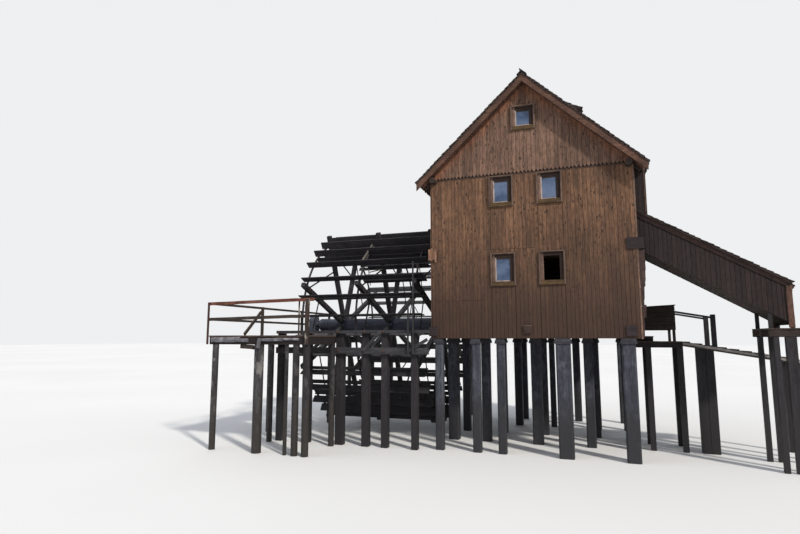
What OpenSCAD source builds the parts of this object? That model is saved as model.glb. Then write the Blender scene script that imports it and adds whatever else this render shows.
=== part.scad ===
// Watermill on piles: a boarded timber house over the water's edge, an undershot wheel in
// its race frame, a service platform round the wheel, a covered sloping gallery with its
// landing, and a porch with a ramp. Millimetres, +Z up, the long way along X.
// The front of the house faces -Y. The origin is the foot of the pile under the middle of
// the house. Heights named "rise" count up from the foot of the house walls.

/* [House] */
// Width of the house across its front wall
house_w = 6250; // [5600:50:7000]
// Depth of the house from front wall to back wall
house_d = 8150; // [7600:50:9200]
// Height of the walls' foot above the feet of the piles
wall_z = 3500; // [3400:20:4400]
// Height of the walls from their foot to the foot of the gables
wall_h = 5300; // [5200:20:6000]
// Thickness of the framed and boarded walls
wall_t = 160; // [100:5:240]
// Thickness of the gable boards that lap over the walls
skin_t = 25; // [15:1:40]
// Depth of the lap of the gable boards below the gable's foot
skin_lap = 90; // [40:5:160]

/* [Floors] */
// Thickness of the floor boards
floor_t = 60; // [30:2:100]
// Height of the sill beams that the main floor lies on
sill_h = 340; // [240:10:400]
// Width of the sill beams
sill_w = 250; // [160:10:320]
// Rise of the upper floor's top
upper_floor_rise = 3000; // [2900:20:3100]
// Rise of the attic floor's top
attic_floor_rise = 5380; // [5330:10:5400]
// Height of the beams under the upper and attic floors
beam_h = 200; // [120:10:300]
// Width of the beams under the upper and attic floors
beam_w = 180; // [100:10:260]

/* [Roof] */
// Slope of the main roof in degrees
roof_pitch = 43; // [38:0.5:48]
// Thickness of the main roof, square to its slope
roof_t = 160; // [100:5:220]
// Level distance from the side walls to the roof's lower edge
eave_out = 295; // [150:5:450]
// Distance that the roof runs past the gables
verge_out = 380; // [200:10:500]
// Width of each arm of the ridge cap, along the slope
cap_arm = 180; // [120:5:220]
// Thickness of the ridge cap
cap_t = 30; // [15:1:45]
// Thickness of the barge boards
barge_t = 35; // [20:1:50]
// Distance that the barge boards hang below the roof's underside
barge_drop = 70; // [20:5:140]
// Plumb joint between two barge boards where they meet at the ridge
barge_joint = 1; // [0.5:0.5:4]

/* [Dormer] */
// Distance from the ridge to the upper edge of the dormer's roof
dormer_top_x = 420; // [380:10:600]
// Distance from the ridge to the dormer's front
dormer_front_x = 1650; // [1500:10:2100]
// Distance of the dormer's nearer cheek from the front wall
dormer_back = 775; // [500:25:1500]
// Width of the dormer along the roof
dormer_w = 1800; // [1200:50:2400]
// Slope of the dormer's roof in degrees
dormer_pitch = 27; // [20:0.5:32]
// Thickness of the dormer's cheeks and front
cheek_t = 80; // [50:5:120]
// Thickness of the dormer's roof, square to its slope
dormer_roof_t = 80; // [50:5:110]
// Distance that the dormer's roof runs past its front
dormer_eave = 90; // [50:10:300]
// Distance that the dormer's roof runs past its cheeks
dormer_verge = 90; // [30:10:200]

/* [Windows] */
// Width of a window frame
win_w = 840; // [700:10:1000]
// Height of the lower storey's window frames
low_win_h = 1050; // [800:10:1150]
// Height of the upper storey's window frames
up_win_h = 1020; // [800:10:1050]
// Height of the gable's window frame
gable_win_h = 830; // [650:10:900]
// Width of the gable's window frame
gable_win_w = 760; // [600:10:900]
// Rise of the sill of the lower windows
low_sill = 1640; // [1500:10:1740]
// Rise of the sill of the upper windows
up_sill = 4190; // [4000:10:4230]
// Rise of the sill of the gable window
gable_sill = 6660; // [6400:10:6800]
// Place of the left windows across the front, from the middle
left_win_x = -845; // [-1200:5:-700]
// Place of the right windows across the front, from the middle
right_win_x = 650; // [600:5:1200]
// Place of the side walls' windows, from the middle of the house
side_win_y = 2050; // [1500:50:2500]
// Width of a window frame's outer members
frame_w = 90; // [60:5:110]
// Distance that a frame stands out of the wall
frame_proud = 45; // [10:1:60]
// Depth of a frame into the wall
frame_in = 75; // [50:1:95]
// Width of the casement's members
casement_w = 65; // [40:5:80]
// Thickness of the casement
casement_t = 40; // [25:1:50]
// Distance of the casement behind the frame's face
casement_set = 40; // [10:1:60]
// Thickness of the panes
pane_t = 8; // [4:1:16]

/* [Piles under the house] */
// Height of the caps between the piles and the sill beams
cap_h = 160; // [100:10:240]
// Distance that a cap stands past its pile on each side
cap_out = 40; // [10:5:60]
// Chamfer along the piles' corners
pile_chamfer = 35; // [10:5:50]
// Inset of the front and back rows of piles from the house's faces
row_inset = 175; // [150:5:250]

/* [Corner beam ends] */
// Distance that the beam ends stand out of the front and back walls
end_out = 70; // [30:5:120]
// Distance that the upper right beam end runs past the side wall
end_past = 200; // [100:10:260]
// Length of the upper right beam end across the front wall
end_len = 285; // [200:5:400]
// Height of the upper beam ends
end_h = 330; // [200:10:400]
// Height of the lower beam ends
foot_end_h = 300; // [200:10:320]
// Distance of the lower right beam end from the corner
foot_end_in = 115; // [0:5:150]
// Length of the shorter beam ends across the wall
short_end_len = 190; // [120:10:300]
// Distance that the shorter beam ends run past the side wall
short_end_past = 100; // [40:10:150]

/* [Wheel] */
// Outer radius of the paddles
wheel_r = 3760; // [3300:20:3780]
// Length of the paddles along the axle
wheel_w = 4740; // [3800:20:5200]
// Distance from the house's left wall to the paddles
wheel_gap = 530; // [400:10:700]
// Rise of the axle
axle_rise = 580; // [560:10:640]
// Radius of the axle's tube
axle_r = 250; // [200:5:270]
// Radius of the gudgeons at the axle's ends
gudgeon_r = 90; // [50:5:110]
// Number of paddles, a multiple of the number of arms
paddle_n = 32; // [24:8:40]
// Number of arms at each ring
arm_n = 8; // [8:8:8]
// Angle of the first paddle above level, on the near side, in degrees
paddle_start = 15.14; // [14:0.1:16]
// Thickness of the paddle boards
paddle_t = 40; // [25:1:60]
// Inner radius of the paddles
paddle_in_r = 3240; // [2900:20:3300]
// Outer radius of the hoops between the paddles' inner and outer boards
hoop_r = 3470; // [3420:10:3520]
// Thickness of the hoops
hoop_t = 50; // [30:5:80]
// Width of the hoops along the axle
hoop_w = 60; // [40:5:100]
// Radius that the arms' tips reach
arm_tip_r = 3900; // [3820:10:3940]
// Width and thickness of the arms
arm_w = 160; // [100:5:180]
// Distance from the axle's centre to the flats of its collars
collar_r = 300; // [290:5:360]
// Length of the axle's collars
collar_w = 240; // [200:10:320]
// Distance of the outer rings of arms from the paddles' ends
ring_inset = 230; // [150:5:350]
// Distance that the iron bands stand out of the axle
band_out = 12; // [6:1:24]
// Clearance between the gudgeons and their bearings
bearing_gap = 0.3; // [0.2:0.1:1]

/* [Race frame] */
// Clearance between the arms' tips and the race piles
race_gap = 190; // [60:10:400]
// Depth of the race piles, across the race
race_pile_d = 220; // [160:10:300]
// Rise of the upper rail's foot
race_up_rise = 170; // [100:10:200]
// Height of the upper rail
race_up_h = 100; // [60:5:160]
// Rise of the lower rail's foot
race_low_rise = -510; // [-600:10:-400]
// Height of the lower rail
race_low_h = 210; // [120:10:260]
// Thickness of the rails
race_rail_t = 120; // [80:5:160]
// Thickness of the braces on the rails
race_brace_t = 50; // [30:5:80]
// Width of the braces
race_brace_w = 100; // [60:5:140]
// Width of the thin poles nailed to the near rails
race_pole_w = 45; // [30:5:60]

/* [Platform] */
// Distance from the race rails to the platform's near edge
platform_d = 1950; // [1500:50:2400]
// Length of the near platform along the race
platform_len = 3670; // [3000:10:4200]
// Width of the walkway past the end of the wheel
walk_w = 1320; // [1000:20:1500]
// Clearance between the walkway and the paddles
walk_gap = 350; // [200:10:500]
// Rise of the platform's top
deck_rise = 100; // [60:5:140]
// Thickness of the platform's boards
deck_t = 50; // [30:2:80]
// Height of the beams under the platform
deck_beam_h = 240; // [160:10:320]
// Width of the beams under the platform
deck_beam_w = 150; // [100:10:200]
// Height of the railing above the platform
rail_h = 1040; // [900:10:1200]
// Height of the middle rail above the platform
mid_rail_h = 520; // [400:10:650]
// Width of the railing's posts
post_w = 90; // [60:5:120]
// Height of the rails' section
rail_sec = 80; // [50:5:110]
// Thickness of the rails
rail_t = 40; // [25:1:60]
// Radius of the platform's stoutest log pile
log_r = 150; // [110:5:160]

/* [Bearings] */
// Length of the bearing blocks along the axle
block_l = 220; // [160:10:260]
// Width of the outer bearing block
block_w = 520; // [400:10:700]
// Rise of the outer bearing block's top
block_top = 1000; // [940:10:1200]
// Distance of the outer bearing block from the walkway's outer edge
block_in = 455; // [300:5:700]
// Width of the inner bearing block
inner_block_w = 520; // [400:10:700]
// Height of the inner bearing block above the axle
inner_block_up = 220; // [160:10:300]
// Clearance round the axle where it enters the house
axle_hole_gap = 40; // [20:5:60]

/* [Gallery] */
// Level length of the gallery
gallery_run = 3825; // [3300:5:4600]
// Drop of the gallery along its length
gallery_drop = 2305; // [1900:5:2600]
// Rise of the gallery's underside at the house
gallery_rise = 2680; // [2600:10:2760]
// Upright height of the gallery's side walls
gallery_h = 1095; // [950:10:1200]
// Width of the gallery
gallery_w = 1300; // [1000:20:1500]
// Distance of the gallery from the front of the house
gallery_back = 225; // [120:5:400]
// Thickness of the gallery's walls
gallery_t = 50; // [30:2:80]
// Thickness of the gallery's roof, square to its slope
gallery_roof_t = 45; // [30:5:100]
// Distance that the gallery's roof runs past its walls
gallery_eave = 110; // [50:5:160]
// Depth of the fascia boards under the gallery's roof
fascia_h = 125; // [80:5:240]
// Thickness of the fascia boards
fascia_t = 30; // [20:1:50]
// Height of the hatch between the gallery and the upper floor
hatch_h = 640; // [450:10:700]
// Width of the shaft on the wall above the gallery
head_w = 340; // [240:10:440]
// Thickness of the shaft's boards
head_t = 50; // [30:2:80]

/* [Landing] */
// Level length of the landing under the gallery's lower end
landing_len = 1120; // [900:10:1500]
// Distance that the landing runs past the gallery's lower end
landing_past = 450; // [200:10:700]
// Rise of the landing's top
landing_rise = 280; // [200:5:320]
// Height of the landing's beams and boards
landing_h = 240; // [160:5:300]
// Distance that the landing runs past the gallery's sides
landing_side = 150; // [60:10:300]
// Width of the landing's posts
landing_post = 130; // [90:5:180]

/* [Porch and ramp] */
// Level length of the porch out from the house
porch_len = 1345; // [1100:5:1600]
// Width of the porch along the house
porch_w = 1250; // [1100:10:1500]
// Place of the porch's middle along the house
porch_y = -1300; // [-1500:10:-1200]
// Rise of the porch's top
porch_rise = -100; // [-140:10:60]
// Height of the porch's beams and boards
porch_h = 190; // [120:10:240]
// Height of the boarded parapet above the porch
parapet_h = 1080; // [800:10:1200]
// Distance that the parapet's top rises to its outer end
parapet_climb = 60; // [0:5:100]
// Height of the open strip under the parapet's boards
parapet_gap = 370; // [100:10:450]
// Thickness of the parapet's boards
parapet_t = 40; // [25:1:60]
// Level length of the ramp
ramp_len = 3100; // [2600:20:4000]
// Drop of the ramp along its length
ramp_drop = 530; // [300:10:700]
// Step down from the porch to the ramp
ramp_step = 20; // [0:5:60]
// Upright thickness of the ramp
ramp_h = 110; // [70:5:180]
// Distance from the porch to the ramp's pier
pier_out = 365; // [300:5:600]
// Width of the pier's piles
pier_w = 240; // [150:5:260]
// Height of the newel above the ramp
newel_h = 1010; // [800:10:1150]
// Width of the porch's doorway
door_w = 900; // [800:10:1000]
// Height of the porch's doorway
door_h = 1950; // [1800:10:2150]
// Width of the door frames' members
door_frame_w = 70; // [50:5:100]
// Thickness of the porch door
door_t = 45; // [30:1:60]
// Depth of each step in front of the porch door
step_d = 260; // [220:10:320]

/* [Hidden] */

// Extra length of a cut past the faces that it opens
cut = 10;
// Gap at the seat of a piece that is set against a sloping face or nailed on
seat = 0.3;
hw = house_w / 2;
hd = house_d / 2;
roof_v = roof_t / cos(roof_pitch);
eave_x = hw + eave_out;
eave_tip_x = eave_x + roof_t * sin(roof_pitch);
verge_y = hd + verge_out;

// Height of the main roof's underside and top at a distance from the ridge
function under_z(x) = wall_z + wall_h + (hw - x) * tan(roof_pitch);
function top_z(x) = under_z(x) + roof_v;

// Places of the rows of piles, front to back
row_y = [-(hd - row_inset), -hd / 2 + row_inset / 2, 0, hd / 2 - row_inset / 2, hd - row_inset];
// Each row's piles as [place as a share of half the house's width, width of the pile]
rows = [
    [[-0.94, 260], [-0.555, 260], [-0.305, 250], [0.298, 430], [0.885, 380]],
    [[-0.94, 360], [-0.57, 300], [-0.02, 340], [0.52, 300], [0.94, 280]],
    [[-0.93, 280], [-0.48, 300], [0, 300], [0.575, 300], [0.94, 280]],
    [[-0.93, 280], [-0.37, 300], [0.065, 220], [0.59, 300], [0.94, 280]],
    [[-0.93, 280], [-0.37, 300], [-0.1, 280], [0.35, 300], [0.93, 300]]
];

// Front windows as [place across, rise of the sill, width, height, true where glazed]
front_windows = [
    [left_win_x, low_sill, win_w, low_win_h, true],
    [right_win_x, low_sill, win_w, low_win_h, false],
    [left_win_x - 15, up_sill, win_w, up_win_h, true],
    [right_win_x - 10, up_sill, win_w, up_win_h, true]
];
gable_window = [-70, gable_sill, gable_win_w, gable_win_h, true];
// Side windows as [place along Y, rise of the sill, width, height]
left_windows = [for (y = [-side_win_y, side_win_y]) [y, up_sill, win_w, up_win_h]];
right_windows = [
    [side_win_y, low_sill, win_w, low_win_h],
    [side_win_y, up_sill, win_w, up_win_h],
    [0, up_sill, win_w, up_win_h]
];

main_floor_rise = sill_h + floor_t;
attic_joist_rise = attic_floor_rise - floor_t - beam_h;

// Wheel: ends of the paddles, the rings of arms and the ends of the axle
wheel_x1 = -hw - wheel_gap;
wheel_x0 = wheel_x1 - wheel_w;
ring_x = [wheel_x0 + ring_inset, (wheel_x0 + wheel_x1) / 2, wheel_x1 - ring_inset];
axle_z = wall_z + axle_rise;
arm_step = 360 / arm_n;
paddle_step = 360 / paddle_n;
arm_start = paddle_start + paddle_step / 2;
tube_x1 = -hw - 180;

// Platform and race
race_in_y = arm_tip_r + race_gap;
race_out_y = race_in_y + race_pile_d;
rail_out_y = race_out_y + race_rail_t;
walk_x1 = wheel_x0 - walk_gap;
walk_x0 = walk_x1 - walk_w;
platform_y0 = -rail_out_y - platform_d;
platform_x1 = walk_x0 + platform_len;
walk_y1 = race_out_y + 300;
deck_z = wall_z + deck_rise;
beam_z = deck_z - deck_t - deck_beam_h;
deck_in_y = -rail_out_y - race_brace_t - 2 * seat;
block_x = walk_x0 + block_in;
tube_x0 = block_x + block_l / 2 + 230;
inner_block_x = -hw + wall_t + block_l / 2 + 5;

// Gallery
gallery_y0 = -hd + gallery_back;
gallery_y1 = gallery_y0 + gallery_w;
gallery_x1 = hw + gallery_run;
gallery_slope = gallery_drop / gallery_run;
gallery_roof_v = gallery_roof_t * sqrt(1 + gallery_slope * gallery_slope);
function gallery_z(x) = wall_z + gallery_rise - (x - hw) * gallery_slope;

// Landing, porch and ramp
landing_z = wall_z + landing_rise;
landing_x1 = gallery_x1 + landing_past;
landing_x0 = landing_x1 - landing_len;
porch_z = wall_z + porch_rise;
porch_x1 = hw + porch_len;
porch_y0 = porch_y - porch_w / 2;
porch_y1 = porch_y + porch_w / 2;
ramp_x1 = porch_x1 + ramp_len;
ramp_z0 = porch_z - ramp_step;
ramp_slope = ramp_drop / ramp_len;
pier_x = porch_x1 + pier_out;
function ramp_z(x) = ramp_z0 - (x - porch_x1) * ramp_slope;

// A section drawn in X and Z, carried along Y from y0 for a length
module along_y(y0, len) {
    translate([0, y0 + len, 0]) rotate([90, 0, 0]) linear_extrude(len) children();
}

// A section drawn in Y and Z, carried along X from x0 for a length
module along_x(x0, len) {
    translate([x0, 0, 0]) rotate([90, 0, 90]) linear_extrude(len) children();
}

// A straight bar from point a to point b, w wide and h high
module bar(a, b, w, h) {
    v = b - a;
    translate(a)
        rotate([0, -atan2(v.z, norm([v.x, v.y])), atan2(v.y, v.x)])
            translate([0, -w / 2, -h / 2]) cube([norm(v), w, h]);
}

// A box between two corners
module block(a, b) {
    translate(a) cube(b - a);
}

// Children copied to the back of the house
module both_ends() {
    children();
    mirror([0, 1, 0]) children();
}

// Children copied to the other side of the roof
module both_sides() {
    children();
    mirror([1, 0, 0]) children();
}

// Places a window drawn at the front, by the side of the house that it is on
module on_front(x, rise) { translate([x, -hd, wall_z + rise]) children(); }
module on_back(x, rise) { translate([x, hd, wall_z + rise]) rotate([0, 0, 180]) children(); }
module on_left(y, rise) { translate([-hw, y, wall_z + rise]) rotate([0, 0, -90]) children(); }
module on_right(y, rise) { translate([hw, y, wall_z + rise]) rotate([0, 0, 90]) children(); }

// The hole for a window in the wall that its outer face stands on
module window_hole(w, h) {
    translate([-w / 2, -skin_t - cut, 0]) cube([w, wall_t + skin_t + 2 * cut, h]);
}

module window_frame(w, h) {
    difference() {
        translate([-w / 2, -frame_proud, 0]) cube([w, frame_proud + frame_in, h]);
        translate([-w / 2 + frame_w, -frame_proud - cut, frame_w])
            cube([w - 2 * frame_w, frame_proud + frame_in + 2 * cut, h - 2 * frame_w]);
    }
    difference() {
        translate([-w / 2 + frame_w, -frame_proud + casement_set, frame_w])
            cube([w - 2 * frame_w, casement_t, h - 2 * frame_w]);
        window_opening(w, h, cut, casement_t + 2 * cut);
    }
}

// The space inside the casement, from a distance in front of it for a depth
module window_opening(w, h, before, depth) {
    edge = frame_w + casement_w;
    translate([-w / 2 + edge, -frame_proud + casement_set - before, edge])
        cube([w - 2 * edge, depth, h - 2 * edge]);
}

module window_pane(w, h) {
    window_opening(w, h, (pane_t - casement_t) / 2, pane_t);
}

module house_front() {
    difference() {
        block([-hw, -hd, wall_z], [hw, -hd + wall_t, wall_z + wall_h]);
        for (w = front_windows) on_front(w[0], w[1]) window_hole(w[2], w[3]);
    }
}

module front_wall() {
    color("sienna") house_front();
}

module back_wall() {
    color("sienna") mirror([0, 1, 0]) house_front();
}

// A side wall on the +X side, its top bevelled to the roof's underside
module side_wall() {
    along_y(-hd + wall_t, 2 * (hd - wall_t))
        polygon([
            [hw - wall_t, wall_z], [hw, wall_z], [hw, wall_z + wall_h],
            [hw - wall_t, under_z(hw - wall_t)]
        ]);
}

module left_wall() {
    color("sienna") difference() {
        mirror([1, 0, 0]) side_wall();
        for (w = left_windows) on_left(w[0], w[1]) window_hole(w[2], w[3]);
        translate([-hw - cut, 0, axle_z]) rotate([0, 90, 0])
            cylinder(r = gudgeon_r + axle_hole_gap, h = wall_t + 2 * cut, $fn = 48);
    }
}

module right_wall() {
    color("sienna") difference() {
        side_wall();
        for (w = right_windows) on_right(w[0], w[1]) window_hole(w[2], w[3]);
        block([hw - wall_t - cut, porch_y - door_w / 2, wall_z + main_floor_rise],
              [hw + cut, porch_y + door_w / 2, wall_z + main_floor_rise + door_h]);
        block([hw - wall_t - cut, gallery_y0 + gallery_t, wall_z + upper_floor_rise],
              [hw + cut, gallery_y1 - gallery_t, wall_z + upper_floor_rise + hatch_h]);
    }
}

// The boarded gable with its lap over the wall below
module gable() {
    foot = wall_z + wall_h;
    difference() {
        union() {
            along_y(-hd, wall_t) polygon([[-hw, foot], [hw, foot], [0, under_z(0)]]);
            along_y(-hd - skin_t, skin_t)
                polygon([
                    [-hw, foot - skin_lap], [hw, foot - skin_lap], [hw, foot],
                    [0, under_z(0)], [-hw, foot]
                ]);
        }
        on_front(gable_window[0], gable_window[1])
            window_hole(gable_window[2], gable_window[3]);
    }
}

module front_gable() {
    color("saddlebrown") gable();
}

module back_gable() {
    color("saddlebrown") mirror([0, 1, 0]) gable();
}

// Inner width and depth of the rooms
room_x = hw - wall_t;
room_y = hd - wall_t;

module main_floor() {
    color("peru")
        block([-room_x, -room_y, wall_z + sill_h],
              [room_x, room_y, wall_z + main_floor_rise]);
}

// A boarded floor on beams that span between the side walls
module beamed_floor(rise) {
    block([-room_x, -room_y, wall_z + rise - floor_t], [room_x, room_y, wall_z + rise]);
    for (y = row_y)
        block([-room_x, max(-room_y, y - beam_w / 2), wall_z + rise - floor_t - beam_h],
              [room_x, min(room_y, y + beam_w / 2), wall_z + rise - floor_t]);
}

module upper_floor() {
    color("peru") beamed_floor(upper_floor_rise);
}

module attic_floor() {
    color("peru") beamed_floor(attic_floor_rise);
}

module roof_slope() {
    along_y(-verge_y, 2 * verge_y)
        polygon([
            [0, under_z(0)], [eave_x, under_z(eave_x)],
            [eave_tip_x, top_z(eave_tip_x)], [0, top_z(0)]
        ]);
}

module roof_left() {
    color("dimgray") mirror([1, 0, 0]) roof_slope();
}

dormer_y0 = -hd + dormer_back;
dormer_y1 = dormer_y0 + dormer_w;
dormer_roof_v = dormer_roof_t / cos(dormer_pitch);
function dormer_z(x) = top_z(dormer_top_x) - (x - dormer_top_x) * tan(dormer_pitch);

module roof_right() {
    color("dimgray") difference() {
        roof_slope();
        block([dormer_top_x + 200, dormer_y0 + cheek_t, wall_z + wall_h],
              [dormer_front_x - cheek_t, dormer_y1 - cheek_t, top_z(0)]);
    }
}

module ridge_cap() {
    arm_x = cap_arm * cos(roof_pitch);
    rise_x = cap_t * sin(roof_pitch);
    color("dimgray") translate([0, 0, 2 * seat]) along_y(-verge_y, 2 * verge_y)
        polygon([
            [0, top_z(0)], [arm_x, top_z(arm_x)],
            [arm_x + rise_x, top_z(arm_x) + cap_t * cos(roof_pitch)],
            [0, top_z(0) + cap_t / cos(roof_pitch)],
            [-arm_x - rise_x, top_z(arm_x) + cap_t * cos(roof_pitch)],
            [-arm_x, top_z(arm_x)]
        ]);
}

module barge_boards() {
    drop = roof_v + barge_drop;
    x0 = barge_joint / 2;
    color("saddlebrown") both_ends() both_sides()
        along_y(-verge_y - barge_t, barge_t)
            polygon([
                [x0, top_z(x0) - drop], [eave_tip_x, top_z(eave_tip_x) - drop],
                [eave_tip_x, top_z(eave_tip_x)], [x0, top_z(x0)]
            ]);
}

module dormer_cheek(y0) {
    along_y(y0, cheek_t)
        polygon([
            [dormer_top_x, top_z(dormer_top_x)], [dormer_front_x, top_z(dormer_front_x)],
            [dormer_front_x, dormer_z(dormer_front_x)]
        ]);
}

module dormer_walls() {
    x0 = dormer_front_x - cheek_t;
    color("saddlebrown") translate([0, 0, 2 * seat]) {
        dormer_cheek(dormer_y0);
        dormer_cheek(dormer_y1 - cheek_t);
        along_y(dormer_y0, dormer_w)
            polygon([
                [x0, top_z(x0)], [dormer_front_x, top_z(dormer_front_x)],
                [dormer_front_x, dormer_z(dormer_front_x)], [x0, dormer_z(x0)]
            ]);
    }
}

module dormer_roof() {
    x1 = dormer_front_x + dormer_eave;
    x0 = dormer_top_x - dormer_roof_v / (tan(roof_pitch) - tan(dormer_pitch));
    color("dimgray") translate([0, 0, 4 * seat])
        along_y(dormer_y0 - dormer_verge, dormer_w + 2 * dormer_verge) polygon([
            [dormer_top_x, top_z(dormer_top_x)], [x1, dormer_z(x1)],
            [x1, dormer_z(x1) + dormer_roof_v], [x0, top_z(x0)]
        ]);
}

module window_frames() {
    color("burlywood") {
        both_ends() {
            for (w = front_windows) on_front(w[0], w[1]) window_frame(w[2], w[3]);
            translate([0, -skin_t, 0]) on_front(gable_window[0], gable_window[1])
                window_frame(gable_window[2], gable_window[3]);
        }
        for (w = left_windows) on_left(w[0], w[1]) window_frame(w[2], w[3]);
        for (w = right_windows) on_right(w[0], w[1]) window_frame(w[2], w[3]);
    }
}

module window_panes() {
    color("lightblue") {
        both_ends() {
            for (w = front_windows)
                if (w[4]) on_front(w[0], w[1]) window_pane(w[2], w[3]);
            translate([0, -skin_t, 0]) on_front(gable_window[0], gable_window[1])
                window_pane(gable_window[2], gable_window[3]);
        }
        for (w = left_windows) on_left(w[0], w[1]) window_pane(w[2], w[3]);
        for (w = right_windows) on_right(w[0], w[1]) window_pane(w[2], w[3]);
    }
}

// A frame round a hole in the right wall, as deep as the wall
module door_frame(y0, y1, z0, z1, sill) {
    difference() {
        block([hw - wall_t, y0, z0], [hw, y1, z1]);
        block([hw - wall_t - cut, y0 + door_frame_w, z0 + (sill ? door_frame_w : -cut)],
              [hw + cut, y1 - door_frame_w, z1 - door_frame_w]);
    }
}

door_z0 = wall_z + main_floor_rise;
hatch_z0 = wall_z + upper_floor_rise;

module door_frames() {
    color("peru") {
        door_frame(porch_y - door_w / 2, porch_y + door_w / 2, door_z0, door_z0 + door_h, false);
        door_frame(gallery_y0 + gallery_t, gallery_y1 - gallery_t, hatch_z0,
                   hatch_z0 + hatch_h, true);
    }
}

module porch_door() {
    half = door_w / 2 - door_frame_w;
    color("saddlebrown")
        block([hw - wall_t / 2 - door_t, porch_y - half, door_z0],
              [hw - wall_t / 2, porch_y + half, door_z0 + door_h - door_frame_w]);
}

// The ends of the main beams that stand out of the front and back walls at the corners
module beam_ends() {
    z1 = wall_z + upper_floor_rise - 50;
    foot_z = wall_z + 70;
    color("saddlebrown") both_ends() {
        block([hw - end_len, -hd - end_out, z1 - end_h], [hw, -hd, z1]);
        block([hw + seat, -hd - end_out, z1 - end_h], [hw + end_past, gallery_y0, z1]);
        block([-hw - short_end_past, -hd - end_out, z1 - 50 - end_h],
              [-hw + short_end_len, -hd, z1 - 50]);
        block([hw - foot_end_in - end_len, -hd - end_out, foot_z],
              [hw - foot_end_in, -hd, foot_z + foot_end_h]);
        block([-hw - short_end_past, -hd - end_out, foot_z],
              [-hw + short_end_len, -hd, foot_z + foot_end_h]);
    }
}

// A square pile with chamfered corners
module square_pile(w, h) {
    a = w / 2;
    b = a - pile_chamfer;
    linear_extrude(h)
        polygon([[a, b], [b, a], [-b, a], [-a, b], [-a, -b], [-b, -a], [b, -a], [a, -b]]);
}

module house_piles() {
    color("slategray") for (r = [0:len(rows) - 1]) for (p = rows[r])
        translate([p[0] * hw, row_y[r], 0]) square_pile(p[1], wall_z - cap_h);
}

// A cap on every pile, narrower at its top where it meets the beam
module pile_caps() {
    color("slategray") for (r = [0:len(rows) - 1]) for (p = rows[r]) {
        w = p[1] + 2 * cap_out;
        translate([p[0] * hw, row_y[r], wall_z - cap_h])
            along_y(-w / 2, w)
                polygon([
                    [-w / 2, 0], [w / 2, 0], [w / 2, cap_h / 3],
                    [w / 2 - cap_out, cap_h], [-w / 2 + cap_out, cap_h], [-w / 2, cap_h / 3]
                ]);
    }
}

module sill_beams() {
    color("saddlebrown") for (r = [0:len(rows) - 1]) {
        y0 = r == 0 ? -room_y : r == len(rows) - 1 ? room_y - sill_w : row_y[r] - sill_w / 2;
        block([-room_x, y0, wall_z], [room_x, y0 + sill_w, wall_z + sill_h]);
    }
}

// Children turned about the axle to an angle above level on the near side
module at_angle(angle) {
    translate([0, 0, axle_z]) rotate([-angle, 0, 0]) children();
}

// A round bar along the axle between two places
module shaft(x0, x1, r) {
    translate([x0, 0, axle_z]) rotate([0, 90, 0]) cylinder(r = r, h = x1 - x0, $fn = 64);
}

module wheel_axle() {
    color("slategray") {
        shaft(tube_x0, tube_x1, axle_r);
        shaft(block_x - block_l / 2, inner_block_x + block_l / 2, gudgeon_r);
        for (i = [0:2]) shaft(tube_x0 + 40 + i * 150, tube_x0 + 110 + i * 150, axle_r + band_out);
        shaft(tube_x1 - 110, tube_x1 - 40, axle_r + band_out);
        for (x = ring_x)
            at_angle(arm_start) translate([x - collar_w / 2, 0, 0]) rotate([0, 90, 0])
                rotate([0, 0, 180 / arm_n])
                    cylinder(r = collar_r / cos(180 / arm_n), h = collar_w, $fn = arm_n);
    }
}

module wheel_arms() {
    color("black") for (x = ring_x) for (i = [0:arm_n - 1])
        at_angle(arm_start + i * arm_step)
            block([x - arm_w / 2, -arm_tip_r, -arm_w / 2],
                  [x + arm_w / 2, -collar_r - seat, arm_w / 2]);
}

module wheel_hoops() {
    color("black") for (x = ring_x)
        translate([x - arm_w / 2 - hoop_w - seat, 0, axle_z]) rotate([0, 90, 0]) difference() {
            cylinder(r = hoop_r, h = hoop_w, $fn = 96);
            translate([0, 0, -cut]) cylinder(r = hoop_r - hoop_t, h = hoop_w + 2 * cut, $fn = 96);
        }
}

// Paddles whose inner board has dropped out over the outer half of the wheel
lost_inner = [1, 2];

module wheel_paddles() {
    mid_x = (wheel_x0 + wheel_x1) / 2;
    color("black") for (i = [0:paddle_n - 1]) at_angle(paddle_start + i * paddle_step) {
        block([wheel_x0, -wheel_r, -paddle_t / 2], [wheel_x1, -hoop_r, paddle_t / 2]);
        block([len(search(i, lost_inner)) > 0 ? mid_x : wheel_x0,
               -(hoop_r - hoop_t - seat), -paddle_t / 2],
              [wheel_x1, -paddle_in_r, paddle_t / 2]);
    }
}

// Race piles as [distance from the wheel's house end, width], the last one at the walkway
last_w = 220;
last_d = wheel_x1 - walk_x1 - last_w / 2;
near_race_piles = [
    [40, 200], [1060, 220], [1740, 240], [2680, 280], [3940, 280], [last_d, last_w]
];
far_race_piles = [[40, 220], [1400, 240], [2700, 260], [4000, 260], [last_d, last_w]];

module race_piles(list, side) {
    for (p = list)
        translate([wheel_x1 - p[0], side * (race_in_y + race_pile_d / 2), 0])
            block([-p[1] / 2, -race_pile_d / 2, 0],
                  [p[1] / 2, race_pile_d / 2, wall_z + race_up_rise + race_up_h]);
}

module race_piles_near() {
    color("dimgray") race_piles(near_race_piles, -1);
}

module race_piles_far() {
    color("dimgray") race_piles(far_race_piles, 1);
}

race_x0 = walk_x1;
race_x1 = -hw - 60;
race_up_z = wall_z + race_up_rise;
race_low_z = wall_z + race_low_rise;

// A rail on the outer faces of the near race piles
module near_rail(z0, h) {
    block([race_x0, -rail_out_y, z0], [race_x1, -race_out_y, z0 + h]);
}

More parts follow.
